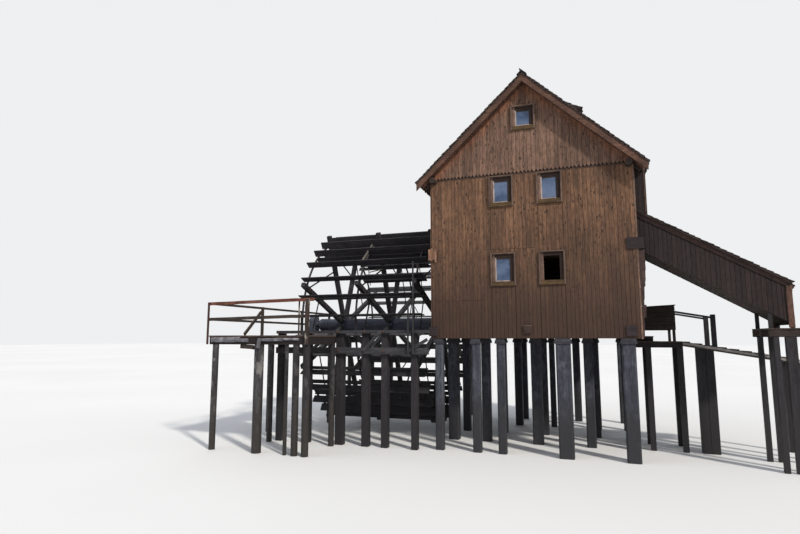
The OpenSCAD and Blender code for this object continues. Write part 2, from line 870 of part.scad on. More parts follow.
// A brace on the near rails, from one place to another as [distance along, rise]
module near_brace(a, b) {
    y = -rail_out_y - seat - race_brace_t / 2;
    bar([wheel_x1 - a[0], y, wall_z + a[1]], [wheel_x1 - b[0], y, wall_z + b[1]],
        race_brace_t, race_brace_w);
}

// A thin pole nailed over the braces, a distance along and up to a rise
module near_pole(along, rise) {
    x = wheel_x1 - along;
    y = -rail_out_y - race_brace_t - 2 * seat;
    block([x - race_pole_w, y - race_pole_w, race_low_z], [x, y, wall_z + rise]);
}

module race_rails_near() {
    mid_low = race_low_rise + race_low_h / 2;
    mid_up = race_up_rise + race_up_h / 2;
    color("gray") {
        near_rail(race_up_z, race_up_h);
        near_rail(race_low_z, race_low_h);
        near_brace([3700, mid_low], [2850, mid_up]);
        near_brace([1750, mid_low], [1150, mid_up]);
        near_brace([245, mid_low - 30], [-460, -30]);
        near_pole(-20, 2500);
        near_pole(150, 1100);
    }
}

module race_rails_far() {
    color("gray") for (rise = [race_up_rise, race_low_rise, -1180, -1750])
        block([race_x0, race_out_y, wall_z + rise],
              [race_x1, rail_out_y, wall_z + rise + race_up_h + 20]);
}

// Height of the centre of the outer block's round top
block_r_z = wall_z + block_top - block_w / 2;

// Blocks that carry the axle's gudgeons, on the walkway and on the main floor
module bearing_blocks() {
    seat_r = gudgeon_r + bearing_gap;
    color("slategray") difference() {
        union() {
            along_x(block_x - block_l / 2, block_l) {
                translate([-block_w / 2, deck_z]) square([block_w, block_r_z - deck_z]);
                translate([0, block_r_z]) circle(r = block_w / 2, $fn = 64);
            }
            block([inner_block_x - block_l / 2, -inner_block_w / 2, door_z0],
                  [inner_block_x + block_l / 2, inner_block_w / 2, axle_z + inner_block_up]);
        }
        shaft(block_x - block_l, inner_block_x + block_l, seat_r);
    }
}

module platform_deck() {
    color("peru") {
        block([walk_x0, platform_y0, deck_z - deck_t], [walk_x1, walk_y1, deck_z]);
        block([walk_x1, platform_y0, deck_z - deck_t],
              [platform_x1, deck_in_y, deck_z]);
    }
}

near_beam_y = deck_in_y - deck_beam_w;

module platform_beams() {
    inset = 20;
    z1 = deck_z - deck_t;
    y0 = platform_y0 + inset;
    x0 = walk_x0 + inset;
    x1 = walk_x1 - inset;
    join_y = near_beam_y + deck_beam_w;
    color("peru") {
        block([x0, y0, beam_z], [platform_x1 - inset, y0 + deck_beam_w, z1]);
        block([x0, near_beam_y, beam_z], [platform_x1 - inset, join_y, z1]);
        for (x = [x0, x1 - deck_beam_w, platform_x1 - inset - deck_beam_w])
            block([x, y0 + deck_beam_w + seat, beam_z],
                  [x + deck_beam_w, near_beam_y - seat, z1]);
        for (x = [x0, x1 - deck_beam_w])
            block([x, join_y + seat, beam_z], [x + deck_beam_w, walk_y1 - inset, z1]);
        for (y = [-block_w / 2, block_w / 2 - deck_beam_w, walk_y1 - inset - deck_beam_w])
            block([x0 + deck_beam_w + seat, y, beam_z],
                  [x1 - deck_beam_w - seat, y + deck_beam_w, z1]);
    }
}

// Log piles of the near edge as [distance from the walkway's outer edge, radius]
near_logs = [[220, 100], [1870, log_r], [2870, 60], [3200, 105], [3560, 110]];

module platform_piles() {
    edge = 20 + deck_beam_w / 2;
    color("slategray") {
        for (p = near_logs) translate([walk_x0 + p[0], platform_y0 + edge, 0])
            cylinder(r = p[1], h = beam_z, $fn = 32);
        for (x = [walk_x0 + edge, walk_x1 - edge]) for (y = [-2850, 0, walk_y1 - edge])
            translate([x, y, 0]) cylinder(r = 95, h = beam_z, $fn = 32);
        for (x = [walk_x1 - edge, platform_x1 - edge])
            translate([x, near_beam_y + deck_beam_w / 2, 0])
                cylinder(r = 95, h = beam_z, $fn = 32);
    }
}

// Posts stand on the platform's edge or against its outer beams, with the rails nailed on
module platform_railing() {
    x0 = walk_x0 + 20;
    y0 = platform_y0 + 20;
    end_x = platform_x1 - post_w * 1.9;
    top = deck_z + rail_h;
    out_y = platform_y0 - seat;
    side_y1 = walk_y1 - 20;
    lift = 70;
    color("indianred") {
        // The thin corner post outside the deck, the thick end post and the thin one by it
        block([walk_x0 - 60, out_y - 60, beam_z], [walk_x0, out_y, top + rail_sec / 2]);
        block([end_x, out_y - post_w * 1.9, beam_z + seat],
              [end_x + post_w * 1.9, out_y, top + lift]);
        block([end_x - 250, y0 + rail_t, deck_z], [end_x - 205, y0 + rail_t + 45, top + lift / 2]);
        // The near rails, between the corner post and past the end post
        for (h = [0, mid_rail_h - rail_h])
            bar([walk_x0 - 60, y0 - 20 + rail_t / 2 + seat, top + h],
                [h == 0 ? platform_x1 + 150 : platform_x1, y0 - 20 + rail_t / 2 + seat,
                 top + h + lift], rail_t, rail_sec);
        // The rails along the walkway on their posts, with a brace
        for (h = [0, mid_rail_h - rail_h])
            block([x0 - rail_t / 2, y0 + rail_t + 1, top + h - rail_sec / 2],
                  [x0 + rail_t / 2, side_y1, top + h + rail_sec / 2]);
        for (y = [-3500, -500, 2100, side_y1 - 80])
            block([x0 + rail_t / 2 + seat, y, deck_z],
                  [x0 + rail_t / 2 + 80, y + 80, top + rail_sec / 2]);
        brace_x = x0 + rail_t / 2 + seat + 30;
        bar([brace_x, -4540, deck_z + 45], [brace_x, -3530, top - 150], 60, rail_sec);
    }
}

// A slope of the gallery from its underside up, between two heights above that line
module gallery_slice(y0, width, low, high) {
    along_y(y0, width)
        polygon([
            [hw, gallery_z(hw) + low], [gallery_x1, gallery_z(gallery_x1) + low],
            [gallery_x1, gallery_z(gallery_x1) + high], [hw, gallery_z(hw) + high]
        ]);
}

module gallery_walls() {
    color("saddlebrown") {
        gallery_slice(gallery_y0, gallery_t, 0, gallery_h);
        gallery_slice(gallery_y1 - gallery_t, gallery_t, 0, gallery_h);
    }
}

module gallery_floor() {
    color("peru")
        gallery_slice(gallery_y0 + gallery_t, gallery_w - 2 * gallery_t, 0, gallery_t + 10);
}

module gallery_roof() {
    color("dimgray") {
        gallery_slice(gallery_y0 - gallery_eave, gallery_w + 2 * gallery_eave,
                      gallery_h, gallery_h + gallery_roof_v);
        for (y = [gallery_y0 - fascia_t, gallery_y1])
            gallery_slice(y, fascia_t, gallery_h - fascia_h, gallery_h);
    }
}

// The boarded shaft on the right wall, from the gallery's roof up to the eave
module head_house() {
    y0 = gallery_y0;
    y1 = gallery_y1;
    low = gallery_h + gallery_roof_v + 2 * seat;
    color("saddlebrown") difference() {
        along_y(y0, y1 - y0)
            polygon([
                [hw, gallery_z(hw) + low], [hw + head_w, gallery_z(hw + head_w) + low],
                [hw + head_w, under_z(eave_x)], [eave_x, under_z(eave_x)],
                [hw, under_z(hw)]
            ]);
        block([hw - cut, y0 + head_t, wall_z], [hw + head_w - head_t, y1 - head_t, under_z(0)]);
    }
}

module landing_deck() {
    y0 = gallery_y0 - landing_side;
    y1 = gallery_y1 + landing_side;
    color("peru") {
        block([landing_x0, y0, landing_z - deck_t], [landing_x1, y1, landing_z]);
        for (y = [y0, (y0 + y1) / 2 - landing_post / 2, y1 - landing_post])
            block([landing_x0, y, landing_z - landing_h],
                  [landing_x1, y + landing_post, landing_z - deck_t]);
    }
}

// Posts under the landing, and the short posts on it that carry the gallery's walls
module landing_posts() {
    y0 = gallery_y0 - landing_side;
    y1 = gallery_y1 + landing_side - landing_post;
    color("slategray") {
        for (x = [landing_x0 + 110, landing_x0 + 390, landing_x1 - landing_post - 40])
            for (y = [y0, y1])
                block([x, y, 0], [x + landing_post, y + landing_post, landing_z - landing_h]);
        for (x = [landing_x0 + 60, gallery_x1 - 100]) for (y = [gallery_y0, gallery_y1 - gallery_t])
            along_y(y, gallery_t)
                polygon([
                    [x, landing_z], [x + 100, landing_z],
                    [x + 100, gallery_z(x + 100) - 2 * seat], [x, gallery_z(x) - 2 * seat]
                ]);
    }
}

// The porch's floor with two steps up to its door
module porch_deck() {
    rise = (main_floor_rise - porch_rise) / 3;
    color("peru") {
        block([hw, porch_y0, porch_z - porch_h], [porch_x1, porch_y1, porch_z]);
        for (i = [1:2])
            block([hw, porch_y - door_w / 2, porch_z],
                  [hw + (3 - i) * step_d, porch_y + door_w / 2, porch_z + i * rise]);
    }
}

// Boarded parapets along the near and far sides of the porch, on their posts
module porch_parapet() {
    post = 80;
    x1 = porch_x1 - 180;
    z0 = porch_z + parapet_gap;
    z1 = porch_z + parapet_h;
    top_slope = parapet_climb / (x1 - hw);
    color("saddlebrown") for (y = [porch_y0, porch_y1 - parapet_t - post]) {
        along_y(y, parapet_t)
            polygon([[hw, z0], [x1, z0], [x1, z1 + parapet_climb], [hw, z1]]);
        for (x = [hw, x1 - post])
            block([x, y + parapet_t + seat, porch_z],
                  [x + post, y + parapet_t + post, z1 + (x - hw) * top_slope]);
    }
}

module ramp() {
    color("peru") along_y(porch_y0, porch_w)
        polygon([
            [porch_x1, ramp_z0 - ramp_h], [ramp_x1, ramp_z(ramp_x1) - ramp_h],
            [ramp_x1, ramp_z(ramp_x1)], [porch_x1, ramp_z0]
        ]);
}

// A pile under the ramp with its top cut to the ramp's slope
module ramp_pile(x, y, w) {
    along_y(y, w)
        polygon([
            [x, 0], [x + w, 0], [x + w, ramp_z(x + w) - ramp_h - seat],
            [x, ramp_z(x) - ramp_h - seat]
        ]);
}

module ramp_piles() {
    low_w = 140;
    porch_post = 160;
    pier2_x = pier_x + pier_w + 10;
    color("dimgray") {
        for (x = [pier_x, pier2_x]) ramp_pile(x, porch_y0, pier_w);
        ramp_pile(pier2_x, porch_y1 - pier_w, pier_w);
        for (y = [porch_y0, porch_y1 - low_w]) ramp_pile(ramp_x1 - low_w, y, low_w);
        for (x = [hw + 260, porch_x1 - porch_post]) for (y = [porch_y0, porch_y1 - porch_post])
            block([x, y, 0], [x + porch_post, y + porch_post, porch_z - porch_h]);
    }
}

// Newels by the pier and the thin rails from them to the parapets
module ramp_rails() {
    newel = 130;
    x0 = pier_x + 2 * pier_w - 10;
    x1 = porch_x1 - 180;
    z0 = porch_z + parapet_h - 130;
    z1 = ramp_z(x0) + newel_h - 90;
    color("dimgray") for (y = [porch_y0, porch_y1 - newel]) {
        along_y(y, newel)
            polygon([
                [x0, ramp_z(x0) + seat], [x0 + newel, ramp_z(x0 + newel) + seat],
                [x0 + newel, ramp_z(x0) + newel_h], [x0, ramp_z(x0) + newel_h]
            ]);
        along_y(y + newel / 2 - 25, 50)
            polygon([
                [x1 + seat, z0 - 30], [x0 - seat, z1 - 30],
                [x0 - seat, z1 + 30], [x1 + seat, z0 + 30]
            ]);
    }
}

front_wall();
back_wall();
left_wall();
right_wall();
front_gable();
back_gable();
main_floor();
upper_floor();
attic_floor();
roof_left();
roof_right();
ridge_cap();
barge_boards();
dormer_walls();
dormer_roof();
window_frames();
window_panes();
door_frames();
porch_door();
beam_ends();
house_piles();
pile_caps();
sill_beams();
wheel_axle();
wheel_arms();
wheel_hoops();
wheel_paddles();
race_piles_near();
race_piles_far();
race_rails_near();
race_rails_far();
bearing_blocks();
platform_deck();
platform_beams();
platform_piles();
platform_railing();
gallery_walls();
gallery_floor();
gallery_roof();
head_house();
landing_deck();
landing_posts();
porch_deck();
porch_parapet();
ramp();
ramp_piles();
ramp_rails();
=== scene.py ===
import math
import random

import bpy
from mathutils import Matrix, Vector


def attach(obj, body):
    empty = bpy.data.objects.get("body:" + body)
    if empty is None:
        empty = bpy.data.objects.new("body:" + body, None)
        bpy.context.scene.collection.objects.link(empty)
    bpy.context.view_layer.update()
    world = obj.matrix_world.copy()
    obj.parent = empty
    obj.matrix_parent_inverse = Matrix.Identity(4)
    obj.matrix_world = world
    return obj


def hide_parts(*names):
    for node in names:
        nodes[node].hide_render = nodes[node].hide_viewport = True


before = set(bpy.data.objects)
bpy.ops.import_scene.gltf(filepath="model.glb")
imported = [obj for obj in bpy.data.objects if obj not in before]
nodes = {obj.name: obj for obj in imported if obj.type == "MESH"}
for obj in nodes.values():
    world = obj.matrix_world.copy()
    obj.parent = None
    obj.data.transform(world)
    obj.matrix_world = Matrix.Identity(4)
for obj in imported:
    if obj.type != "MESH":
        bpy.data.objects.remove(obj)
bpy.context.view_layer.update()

draw = random.Random(1874)

# Measures of the mill in metres, as the solids have them: its house and roof
WALL_Z = 3.5
WALL_TOP = 8.8
HALF_W = 3.125
HALF_D = 4.075
PITCH = math.radians(43)
ROOF_V = 0.2188
TIP_X = 3.529
VERGE_Y = 4.455
# How far the gables' skin stands proud of the walls, and where it starts
SKIN = 0.025
GABLE_SKIN_FOOT = 8.71
# The wheel: its axle, its first arm's angle, the step between arms, its rings and its ends
AXLE_Z = 4.08
ARM_START = 20.765
ARM_STEP = 45
RINGS = (-8.165, -6.025, -3.885)
WHEEL_X0 = -8.395
WHEEL_X1 = -3.655
# The railed platform with its walkway beside the wheel
WALK_X0 = -10.065
WALK_X1 = -8.745
WALK_Y1 = 4.61
PLATFORM_Y0 = -6.38
PLATFORM_X1 = -6.395
PLATFORM_IN_Y = -4.4806
DECK_Z = 3.6
RAIL_TOP = 4.64
# The sloping gallery, the porch and the ramp
GALLERY_Y0 = -3.85
GALLERY_Y1 = -2.55
GALLERY_X1 = 6.95
GALLERY_RUN = 3.825
GALLERY_SLOPE = 2.305 / GALLERY_RUN
GALLERY_H = 1.095
GALLERY_ROOF_V = 0.0525
PORCH_Y0 = -1.925
PORCH_Y1 = -0.675
PORCH_MIDDLE_Y = -1.3
PORCH_X1 = 4.47
PORCH_Z = 3.4
RAMP_X1 = 7.57
RAMP_SLOPE = 0.53 / 3.1
RAMP_Z0 = 3.38

# Boards: their thickness, the step between them and the gap, and how they vary
BOARD_T = 0.022
BOARD_PITCH = 0.118
BOARD_GAP = 0.005
JOINT_WANDER = 0.008
BOARD_RISE = 0.003
SEAM_HALF = 0.003
SHORTEST_BOARD = 0.03
WALL_BOARDS_TOP = GABLE_SKIN_FOOT - 0.005
# Where the gables' boards end in their teeth
GABLE_FOOT = 8.825
SHINGLE_SIZE = (0.34, 0.12, 0.018)
# Windows: how far the frames stand proud, a casing's width and its lap over the boards
FRAME_PROUD = 0.045
CASING_W = 0.048
WINDOW_LAP = 0.02
# How far a window's left casing stands in from its frame's edge, and the right one past it
CASING_IN = 0.085
GABLE_CASING_IN = 0.02
CASING_PAST = 0.03

# The photograph's own camera, and how strong the surround's light is
CAMERA_PLACE = (1.75, -21.3, 3.5)
CAMERA_TILT = 7.47
CAMERA_TURN = 19.2
CAMERA_LENS = 24.525
SKY_STRENGTH = 0.55

RIGHT = Vector((1, 0, 0))
BACK = Vector((0, 1, 0))
UP = Vector((0, 0, 1))


def roof_top(x):
    """Height of the main roof's top face at a distance from the ridge"""
    return WALL_TOP + (HALF_W - abs(x)) * math.tan(PITCH) + ROOF_V


def roof_under(x):
    """Height of the main roof's under face at a distance from the ridge"""
    return roof_top(x) - ROOF_V


def gallery_foot(x):
    """Height of the gallery's under edge at a place along the mill"""
    return WALL_Z + 2.68 - (x - HALF_W) * GALLERY_SLOPE


# Shader groups


def colour(red, green, blue):
    """A colour given in steps of 0 to 255, in the linear values that shaders take"""
    shares = (step / 255 for step in (red, green, blue))
    linear = (s / 12.92 if s <= 0.04045 else ((s + 0.055) / 1.055) ** 2.4 for s in shares)
    return (*linear, 1.0)


def deeper(paint, share):
    """A colour whose steps are brought down to a share"""
    return colour(*(step * share for step in paint))


def put(tree, kind, feeds=None, **settings):
    """Adds a shader node, with its settings, and a value or a link for each named input"""
    made = tree.nodes.new(kind)
    for key, value in settings.items():
        setattr(made, key, value)
    for key, value in (feeds or {}).items():
        if isinstance(value, bpy.types.NodeSocket):
            tree.links.new(value, made.inputs[key])
        else:
            made.inputs[key].default_value = value
    return made


def maths(tree, operation, first, second=0.0):
    """One sum of two values"""
    return put(tree, "ShaderNodeMath", {0: first, 1: second}, operation=operation).outputs[0]


def plus(tree, first, second):
    """Two values added"""
    return maths(tree, "ADD", first, second)


def minus(tree, first, second):
    """The second value taken from the first"""
    return maths(tree, "SUBTRACT", first, second)


def times(tree, first, second):
    """Two values multiplied"""
    return maths(tree, "MULTIPLY", first, second)


def spread(tree, value, low, high, to_low=0.0, to_high=1.0):
    """A value carried smoothly from one range to another, and held at its ends"""
    feeds = {"Value": value, "From Min": low, "From Max": high,
             "To Min": to_low, "To Max": to_high}
    return put(tree, "ShaderNodeMapRange", feeds, interpolation_type="SMOOTHSTEP").outputs[0]


def mixed(tree, share, first, second):
    """Two colours mixed by a share"""
    feeds = {0: share, 6: first, 7: second}
    return put(tree, "ShaderNodeMix", feeds, data_type="RGBA").outputs[2]


def noise(tree, place, scale, detail=3.0, stretch=(1.0, 1.0, 1.0)):
    """A noise value that varies with a place, stretched along the axes"""
    mapped = put(tree, "ShaderNodeMapping", {"Vector": place, "Scale": stretch}).outputs[0]
    feeds = {"Vector": mapped, "Scale": scale, "Detail": detail, "Roughness": 0.6}
    return put(tree, "ShaderNodeTexNoise", feeds).outputs["Fac"]


def axes(tree, place):
    """A place's X, Y and Z as values of their own"""
    return put(tree, "ShaderNodeSeparateXYZ", {"Vector": place}).outputs


def relief(tree, height, strength, depth):
    """The normal of a surface with small heights on it"""
    feeds = {"Height": height, "Strength": strength, "Distance": depth}
    return put(tree, "ShaderNodeBump", feeds).outputs[0]


def shader_group(name, inputs, outputs):
    """A new group with its sockets: returns it with its inner inputs and output node"""
    group = bpy.data.node_groups.new(name, "ShaderNodeTree")
    for label, kind, value in inputs:
        socket = group.interface.new_socket(
            name=label, in_out="INPUT", socket_type="NodeSocket" + kind)
        if value is not None:
            socket.default_value = value
    for label, kind in outputs:
        group.interface.new_socket(name=label, in_out="OUTPUT", socket_type="NodeSocket" + kind)
    start = group.nodes.new("NodeGroupInput")
    end = group.nodes.new("NodeGroupOutput")
    return group, start.outputs, end


def finish_group(group, end, results):
    """Links what a group has worked out to its named outputs, and returns the group"""
    for label, socket in results.items():
        group.links.new(socket, end.inputs[label])
    return group


def use_group(tree, group, feeds):
    """Places a group in a material or in another group, and feeds its inputs"""
    return put(tree, "ShaderNodeGroup", feeds, node_tree=group).outputs


def make_timber_figure():
    """Streaks, figure, knots and flecks of sawn wood, with the grain along the first axis"""
    group, start, end = shader_group(
        "timber_figure", [("Along grain", "Vector", None)],
        [("Fibre", "Float"), ("Figure", "Float"), ("Knot", "Float"), ("Flecks", "Float")])
    along = start["Along grain"]
    fine = noise(group, along, 3.0, 4.0, (1.0, 30.0, 30.0))
    coarse = noise(group, along, 2.2, 3.0, (0.45, 9.0, 9.0))
    fibre = plus(group, times(group, fine, 0.55), times(group, coarse, 0.45))
    figure = noise(group, along, 1.1, 3.0, (0.5, 3.5, 3.5))
    cells = put(group, "ShaderNodeMapping", {"Vector": along, "Scale": (4.4, 9.0, 9.0)})
    knots = put(group, "ShaderNodeTexVoronoi", {"Vector": cells.outputs[0], "Scale": 1.0})
    near = spread(group, knots.outputs["Distance"], 0.09, 0.31, 1.0, 0.0)
    pick = put(group, "ShaderNodeSeparateColor", {"Color": knots.outputs["Color"]})
    kept = spread(group, pick.outputs[0], 0.22, 0.28)
    flecks = noise(group, along, 6.5, 3.0, (0.8, 2.4, 2.4))
    return finish_group(group, end, {
        "Fibre": spread(group, fibre, 0.33, 0.67),
        "Figure": spread(group, figure, 0.3, 0.7),
        "Knot": times(group, near, kept),
        "Flecks": spread(group, flecks, 0.35, 0.65)})


def make_water_stain():
    """Where damp has risen or run: full under a level, and gone a reach above it"""
    group, start, end = shader_group(
        "water_stain",
        [("Place", "Vector", None), ("Level", "Float", 0.0), ("Reach", "Float", 1.0)],
        [("Damp", "Float")])
    place = start["Place"]
    height = axes(group, place)["Z"]
    runs = noise(group, place, 2.0, 3.0, (3.0, 3.0, 0.35))
    lifted = minus(group, height, times(group, minus(group, runs, 0.5), 1.6))
    share = maths(group, "DIVIDE", minus(group, lifted, start["Level"]), start["Reach"])
    return finish_group(group, end, {"Damp": spread(group, share, 0.0, 1.0, 1.0, 0.0)})


def make_upper_dust():
    """Pale dust and bleaching on faces that look up"""
    group, start, end = shader_group(
        "upper_dust", [("Place", "Vector", None)], [("Dust", "Float")])
    rise = axes(group, put(group, "ShaderNodeNewGeometry").outputs["Normal"])["Z"]
    patches = noise(group, start["Place"], 2.5, 4.0)
    dust = times(group, spread(group, rise, 0.2, 0.9),
                 spread(group, patches, 0.25, 0.65, 0.35, 1.0))
    return finish_group(group, end, {"Dust": dust})


def make_roof_shelter():
    """Where the gable is kept dry and fresh by the roof's overhang"""
    group, start, end = shader_group(
        "roof_shelter", [("Place", "Vector", None)], [("Shelter", "Float")])
    place = start["Place"]
    parts = axes(group, place)
    fall = times(group, maths(group, "ABSOLUTE", parts["X"]), math.tan(PITCH))
    depth = minus(group, minus(group, roof_under(0), fall), parts["Z"])
    runs = noise(group, place, 1.6, 3.0, (2.5, 2.5, 0.5))
    ragged = plus(group, depth, times(group, runs, 0.9))
    return finish_group(group, end, {"Shelter": spread(group, ragged, 0.35, 0.95, 1.0, 0.0)})


def make_spoke_place():
    """Turns a place on the wheel into one along its arm, across it and along the axle"""
    group, start, end = shader_group(
        "spoke_place", [("Place", "Vector", None)], [("Along grain", "Vector")])
    parts = axes(group, start["Place"])
    height = minus(group, parts["Z"], AXLE_Z)
    near = times(group, parts["Y"], -1.0)
    angle = maths(group, "ARCTAN2", height, near)
    turns = maths(group, "DIVIDE", minus(group, angle, math.radians(ARM_START)),
                  math.radians(ARM_STEP))
    whole = maths(group, "ROUND", turns)
    off = times(group, minus(group, turns, whole), math.radians(ARM_STEP))
    squares = plus(group, times(group, height, height), times(group, near, near))
    reach = maths(group, "SQRT", squares)
    across = times(group, off, reach)
    shifted = plus(group, parts["X"], times(group, whole, 7.3))
    joined = put(group, "ShaderNodeCombineXYZ", {"X": reach, "Y": across, "Z": shifted})
    return finish_group(group, end, {"Along grain": joined.outputs[0]})


def make_timber_coat(figure, stain, dust, shelter):
    """The whole look of a weathered timber: its colour, roughness and relief"""
    group, start, end = shader_group(
        "timber_coat",
        [("Along grain", "Vector", None), ("Place", "Vector", None), ("Tone", "Float", 0.5),
         ("Light wood", "Color", None), ("Dark wood", "Color", None),
         ("Knot wood", "Color", None), ("Damp wood", "Color", None),
         ("Dust tint", "Color", None), ("Knots", "Float", 0.6), ("Dusty", "Float", 0.3),
         ("Level", "Float", -5.0), ("Reach", "Float", 1.0), ("Dampness", "Float", 0.8),
         ("Dryness", "Float", 0.8), ("Fresh wood", "Color", None), ("Fresh", "Float", 0.0),
         ("Patchy", "Float", 0.0)],
        [("Colour", "Color"), ("Roughness", "Float"), ("Height", "Float")])
    place = start["Place"]
    grain = use_group(group, figure, {"Along grain": start["Along grain"]})
    body = plus(group, times(group, grain["Fibre"], 0.6), times(group, grain["Figure"], 0.4))
    worn = mixed(group, body, start["Dark wood"], start["Light wood"])
    kept = use_group(group, shelter, {"Place": place})["Shelter"]
    wood = mixed(group, times(group, kept, start["Fresh"]), worn, start["Fresh wood"])
    patches = noise(group, place, 0.55, 3.0)
    runs = noise(group, place, 1.4, 3.0, (2.0, 2.0, 0.3))
    weather = times(group, spread(group, patches, 0.3, 0.7, 0.88, 1.08),
                    spread(group, runs, 0.35, 0.65, 0.82, 1.06))
    value = times(group, spread(group, start["Tone"], 0.0, 1.0, 0.87, 1.13), weather)
    flecked = times(group, value, spread(group, grain["Flecks"], 0.0, 1.0, 0.8, 1.17))
    toned = put(group, "ShaderNodeHueSaturation", {"Color": wood, "Value": flecked})
    knot = times(group, grain["Knot"], start["Knots"])
    knotted = mixed(group, knot, toned.outputs[0], start["Knot wood"])
    damp = use_group(group, stain, {"Place": place, "Level": start["Level"],
                                    "Reach": start["Reach"]})["Damp"]
    wet = times(group, damp, start["Dampness"])
    spots = noise(group, place, 3.4, 4.0, (1.0, 1.0, 0.6))
    bare = times(group, spread(group, spots, 0.52, 0.62), start["Patchy"])
    mottled = mixed(group, bare, knotted, start["Dust tint"])
    soaked = mixed(group, wet, mottled, start["Damp wood"])
    top = use_group(group, dust, {"Place": place})["Dust"]
    dusted = mixed(group, times(group, top, start["Dusty"]), soaked, start["Dust tint"])
    uneven = plus(group, start["Dryness"], times(group, minus(group, body, 0.5), 0.2))
    rough = minus(group, uneven, times(group, wet, 0.25))
    height = minus(group, grain["Fibre"], times(group, knot, 0.5))
    return finish_group(group, end, {"Colour": dusted, "Roughness": rough, "Height": height})


spoke_place = make_spoke_place()
timber_coat = make_timber_coat(make_timber_figure(), make_water_stain(), make_upper_dust(),
                               make_roof_shelter())


# Materials

DUST = (150, 140, 126)
# Turns that bring the grain's first axis along X, Y or Z of the mill
GRAIN_TURNS = {"x": (0, 0, 0), "y": (0, 0, math.radians(-90)), "z": (0, math.radians(90), 0)}


def new_material(name):
    """An empty material: returns it with its tree and the place on the piece"""
    material = bpy.data.materials.new(name)
    material.use_nodes = True
    tree = material.node_tree
    tree.nodes.clear()
    return material, tree, put(tree, "ShaderNodeTexCoord").outputs["Object"]


def finish_material(tree, feeds):
    """Gives a material its shader, with its values and links, and its output"""
    surface = put(tree, "ShaderNodeBsdfPrincipled", feeds)
    put(tree, "ShaderNodeOutputMaterial", {"Surface": surface.outputs[0]})


def grain_source(tree, place, grain):
    """The grain's place and the tone: the board's own, or worked out from where it is"""
    if grain == "board":
        along = put(tree, "ShaderNodeAttribute", attribute_name="grain").outputs["Vector"]
        return along, put(tree, "ShaderNodeAttribute", attribute_name="tone").outputs["Fac"]
    if grain == "spoke":
        along = use_group(tree, spoke_place, {"Place": place})["Along grain"]
    else:
        turn = {"Vector": place, "Rotation": GRAIN_TURNS[grain]}
        along = put(tree, "ShaderNodeMapping", turn).outputs[0]
    return along, spread(tree, noise(tree, place, 0.9, 1.0), 0.3, 0.7)


def timber(name, light, dark, grain="board", knots=0.6, dusty=0.2, dust=DUST,
           level=-5.0, reach=1.0, damp=(40, 34, 30), dampness=0.8, dry=0.82, raised=0.5,
           fresh_wood=(150, 96, 64), fresh=0.0, patchy=0.0, painted_shade_from=None):
    """A weathered wood between a light and a dark colour, with its grain along one way"""
    material, tree, place = new_material(name)
    along, tone = grain_source(tree, place, grain)
    light_wood = colour(*light)
    dark_wood = colour(*dark)
    # Painted shade: from a place along X on, the wood turns darker and has fewer bare patches
    if painted_shade_from is not None:
        painted_shade = spread(tree, axes(tree, place)["X"], painted_shade_from, painted_shade_from + 0.4)
        light_wood = mixed(tree, painted_shade, light_wood, deeper(light, 0.62))
        dark_wood = mixed(tree, painted_shade, dark_wood, deeper(dark, 0.7))
        patchy = times(tree, spread(tree, painted_shade, 0.0, 1.0, 1.0, 0.25), patchy)
    coat = use_group(tree, timber_coat, {
        "Along grain": along, "Place": place, "Tone": tone,
        "Light wood": light_wood, "Dark wood": dark_wood,
        "Knot wood": deeper(dark, 0.45), "Damp wood": colour(*damp),
        "Dust tint": colour(*dust), "Knots": knots, "Dusty": dusty, "Level": level,
        "Reach": reach, "Dampness": dampness, "Dryness": dry,
        "Fresh wood": colour(*fresh_wood), "Fresh": fresh, "Patchy": patchy})
    finish_material(tree, {
        "Base Color": coat["Colour"], "Roughness": coat["Roughness"],
        "Normal": relief(tree, coat["Height"], raised, 0.006), "Specular IOR Level": 0.3})
    return material


def iron(name, light, dark):
    """Old forged iron with rust in its hollows"""
    material, tree, place = new_material(name)
    spots = spread(tree, noise(tree, place, 22.0, 5.0), 0.35, 0.65)
    finish_material(tree, {
        "Base Color": mixed(tree, spots, colour(*dark), colour(*light)),
        "Roughness": spread(tree, spots, 0.0, 1.0, 0.45, 0.8),
        "Normal": relief(tree, spots, 0.4, 0.003), "Metallic": 0.4})
    return material


def window_glass(name):
    """Old panes, opaque: dark blue for the room behind with a painted reflection of the sky, a
    little wavy and dusty
    """
    material, tree, place = new_material(name)
    painted_sky_reflection = spread(tree, noise(tree, place, 0.8, 2.0, (1.0, 1.0, 2.2)), 0.35, 0.65)
    film = spread(tree, noise(tree, place, 9.0, 4.0), 0.3, 0.8)
    # Two blues mixed in tall patches: a dark one for the room behind and a painted reflection
    # of the sky
    tint = mixed(tree, painted_sky_reflection, colour(38, 60, 92), colour(80, 96, 124))
    waves = noise(tree, place, 3.0, 1.0)
    finish_material(tree, {
        "Base Color": mixed(tree, times(tree, film, 0.2), tint, colour(128, 136, 146)),
        "Roughness": spread(tree, film, 0.0, 1.0, 0.05, 0.22),
        "Normal": relief(tree, waves, 0.15, 0.02), "Specular IOR Level": 0.45})
    return material


# The wall's boards darken more and more towards their foot: partly damp, partly painted shade
wall_wood = timber("wall_boards_wood", (126, 93, 70), (64, 46, 35), knots=0.85, level=3.6,
                   reach=4.2, damp=(48, 31, 23), dampness=0.88, dusty=0.1)
gable_wood = timber("gable_boards_wood", (135, 105, 87), (72, 54, 46), knots=0.85, dusty=0.1,
                    fresh_wood=(138, 84, 56), fresh=0.55)
casing_wood = timber("casing_wood", (114, 93, 80), (70, 54, 46), knots=0.3,
                     dust=(124, 108, 88))
# Dark brown for the windows' right and top linings: painted shade, as if they lay in the
# casings' shadow
painted_shade_lining_wood = timber("painted_shade_lining_wood", (52, 38, 32), (32, 22, 19), knots=0.1)
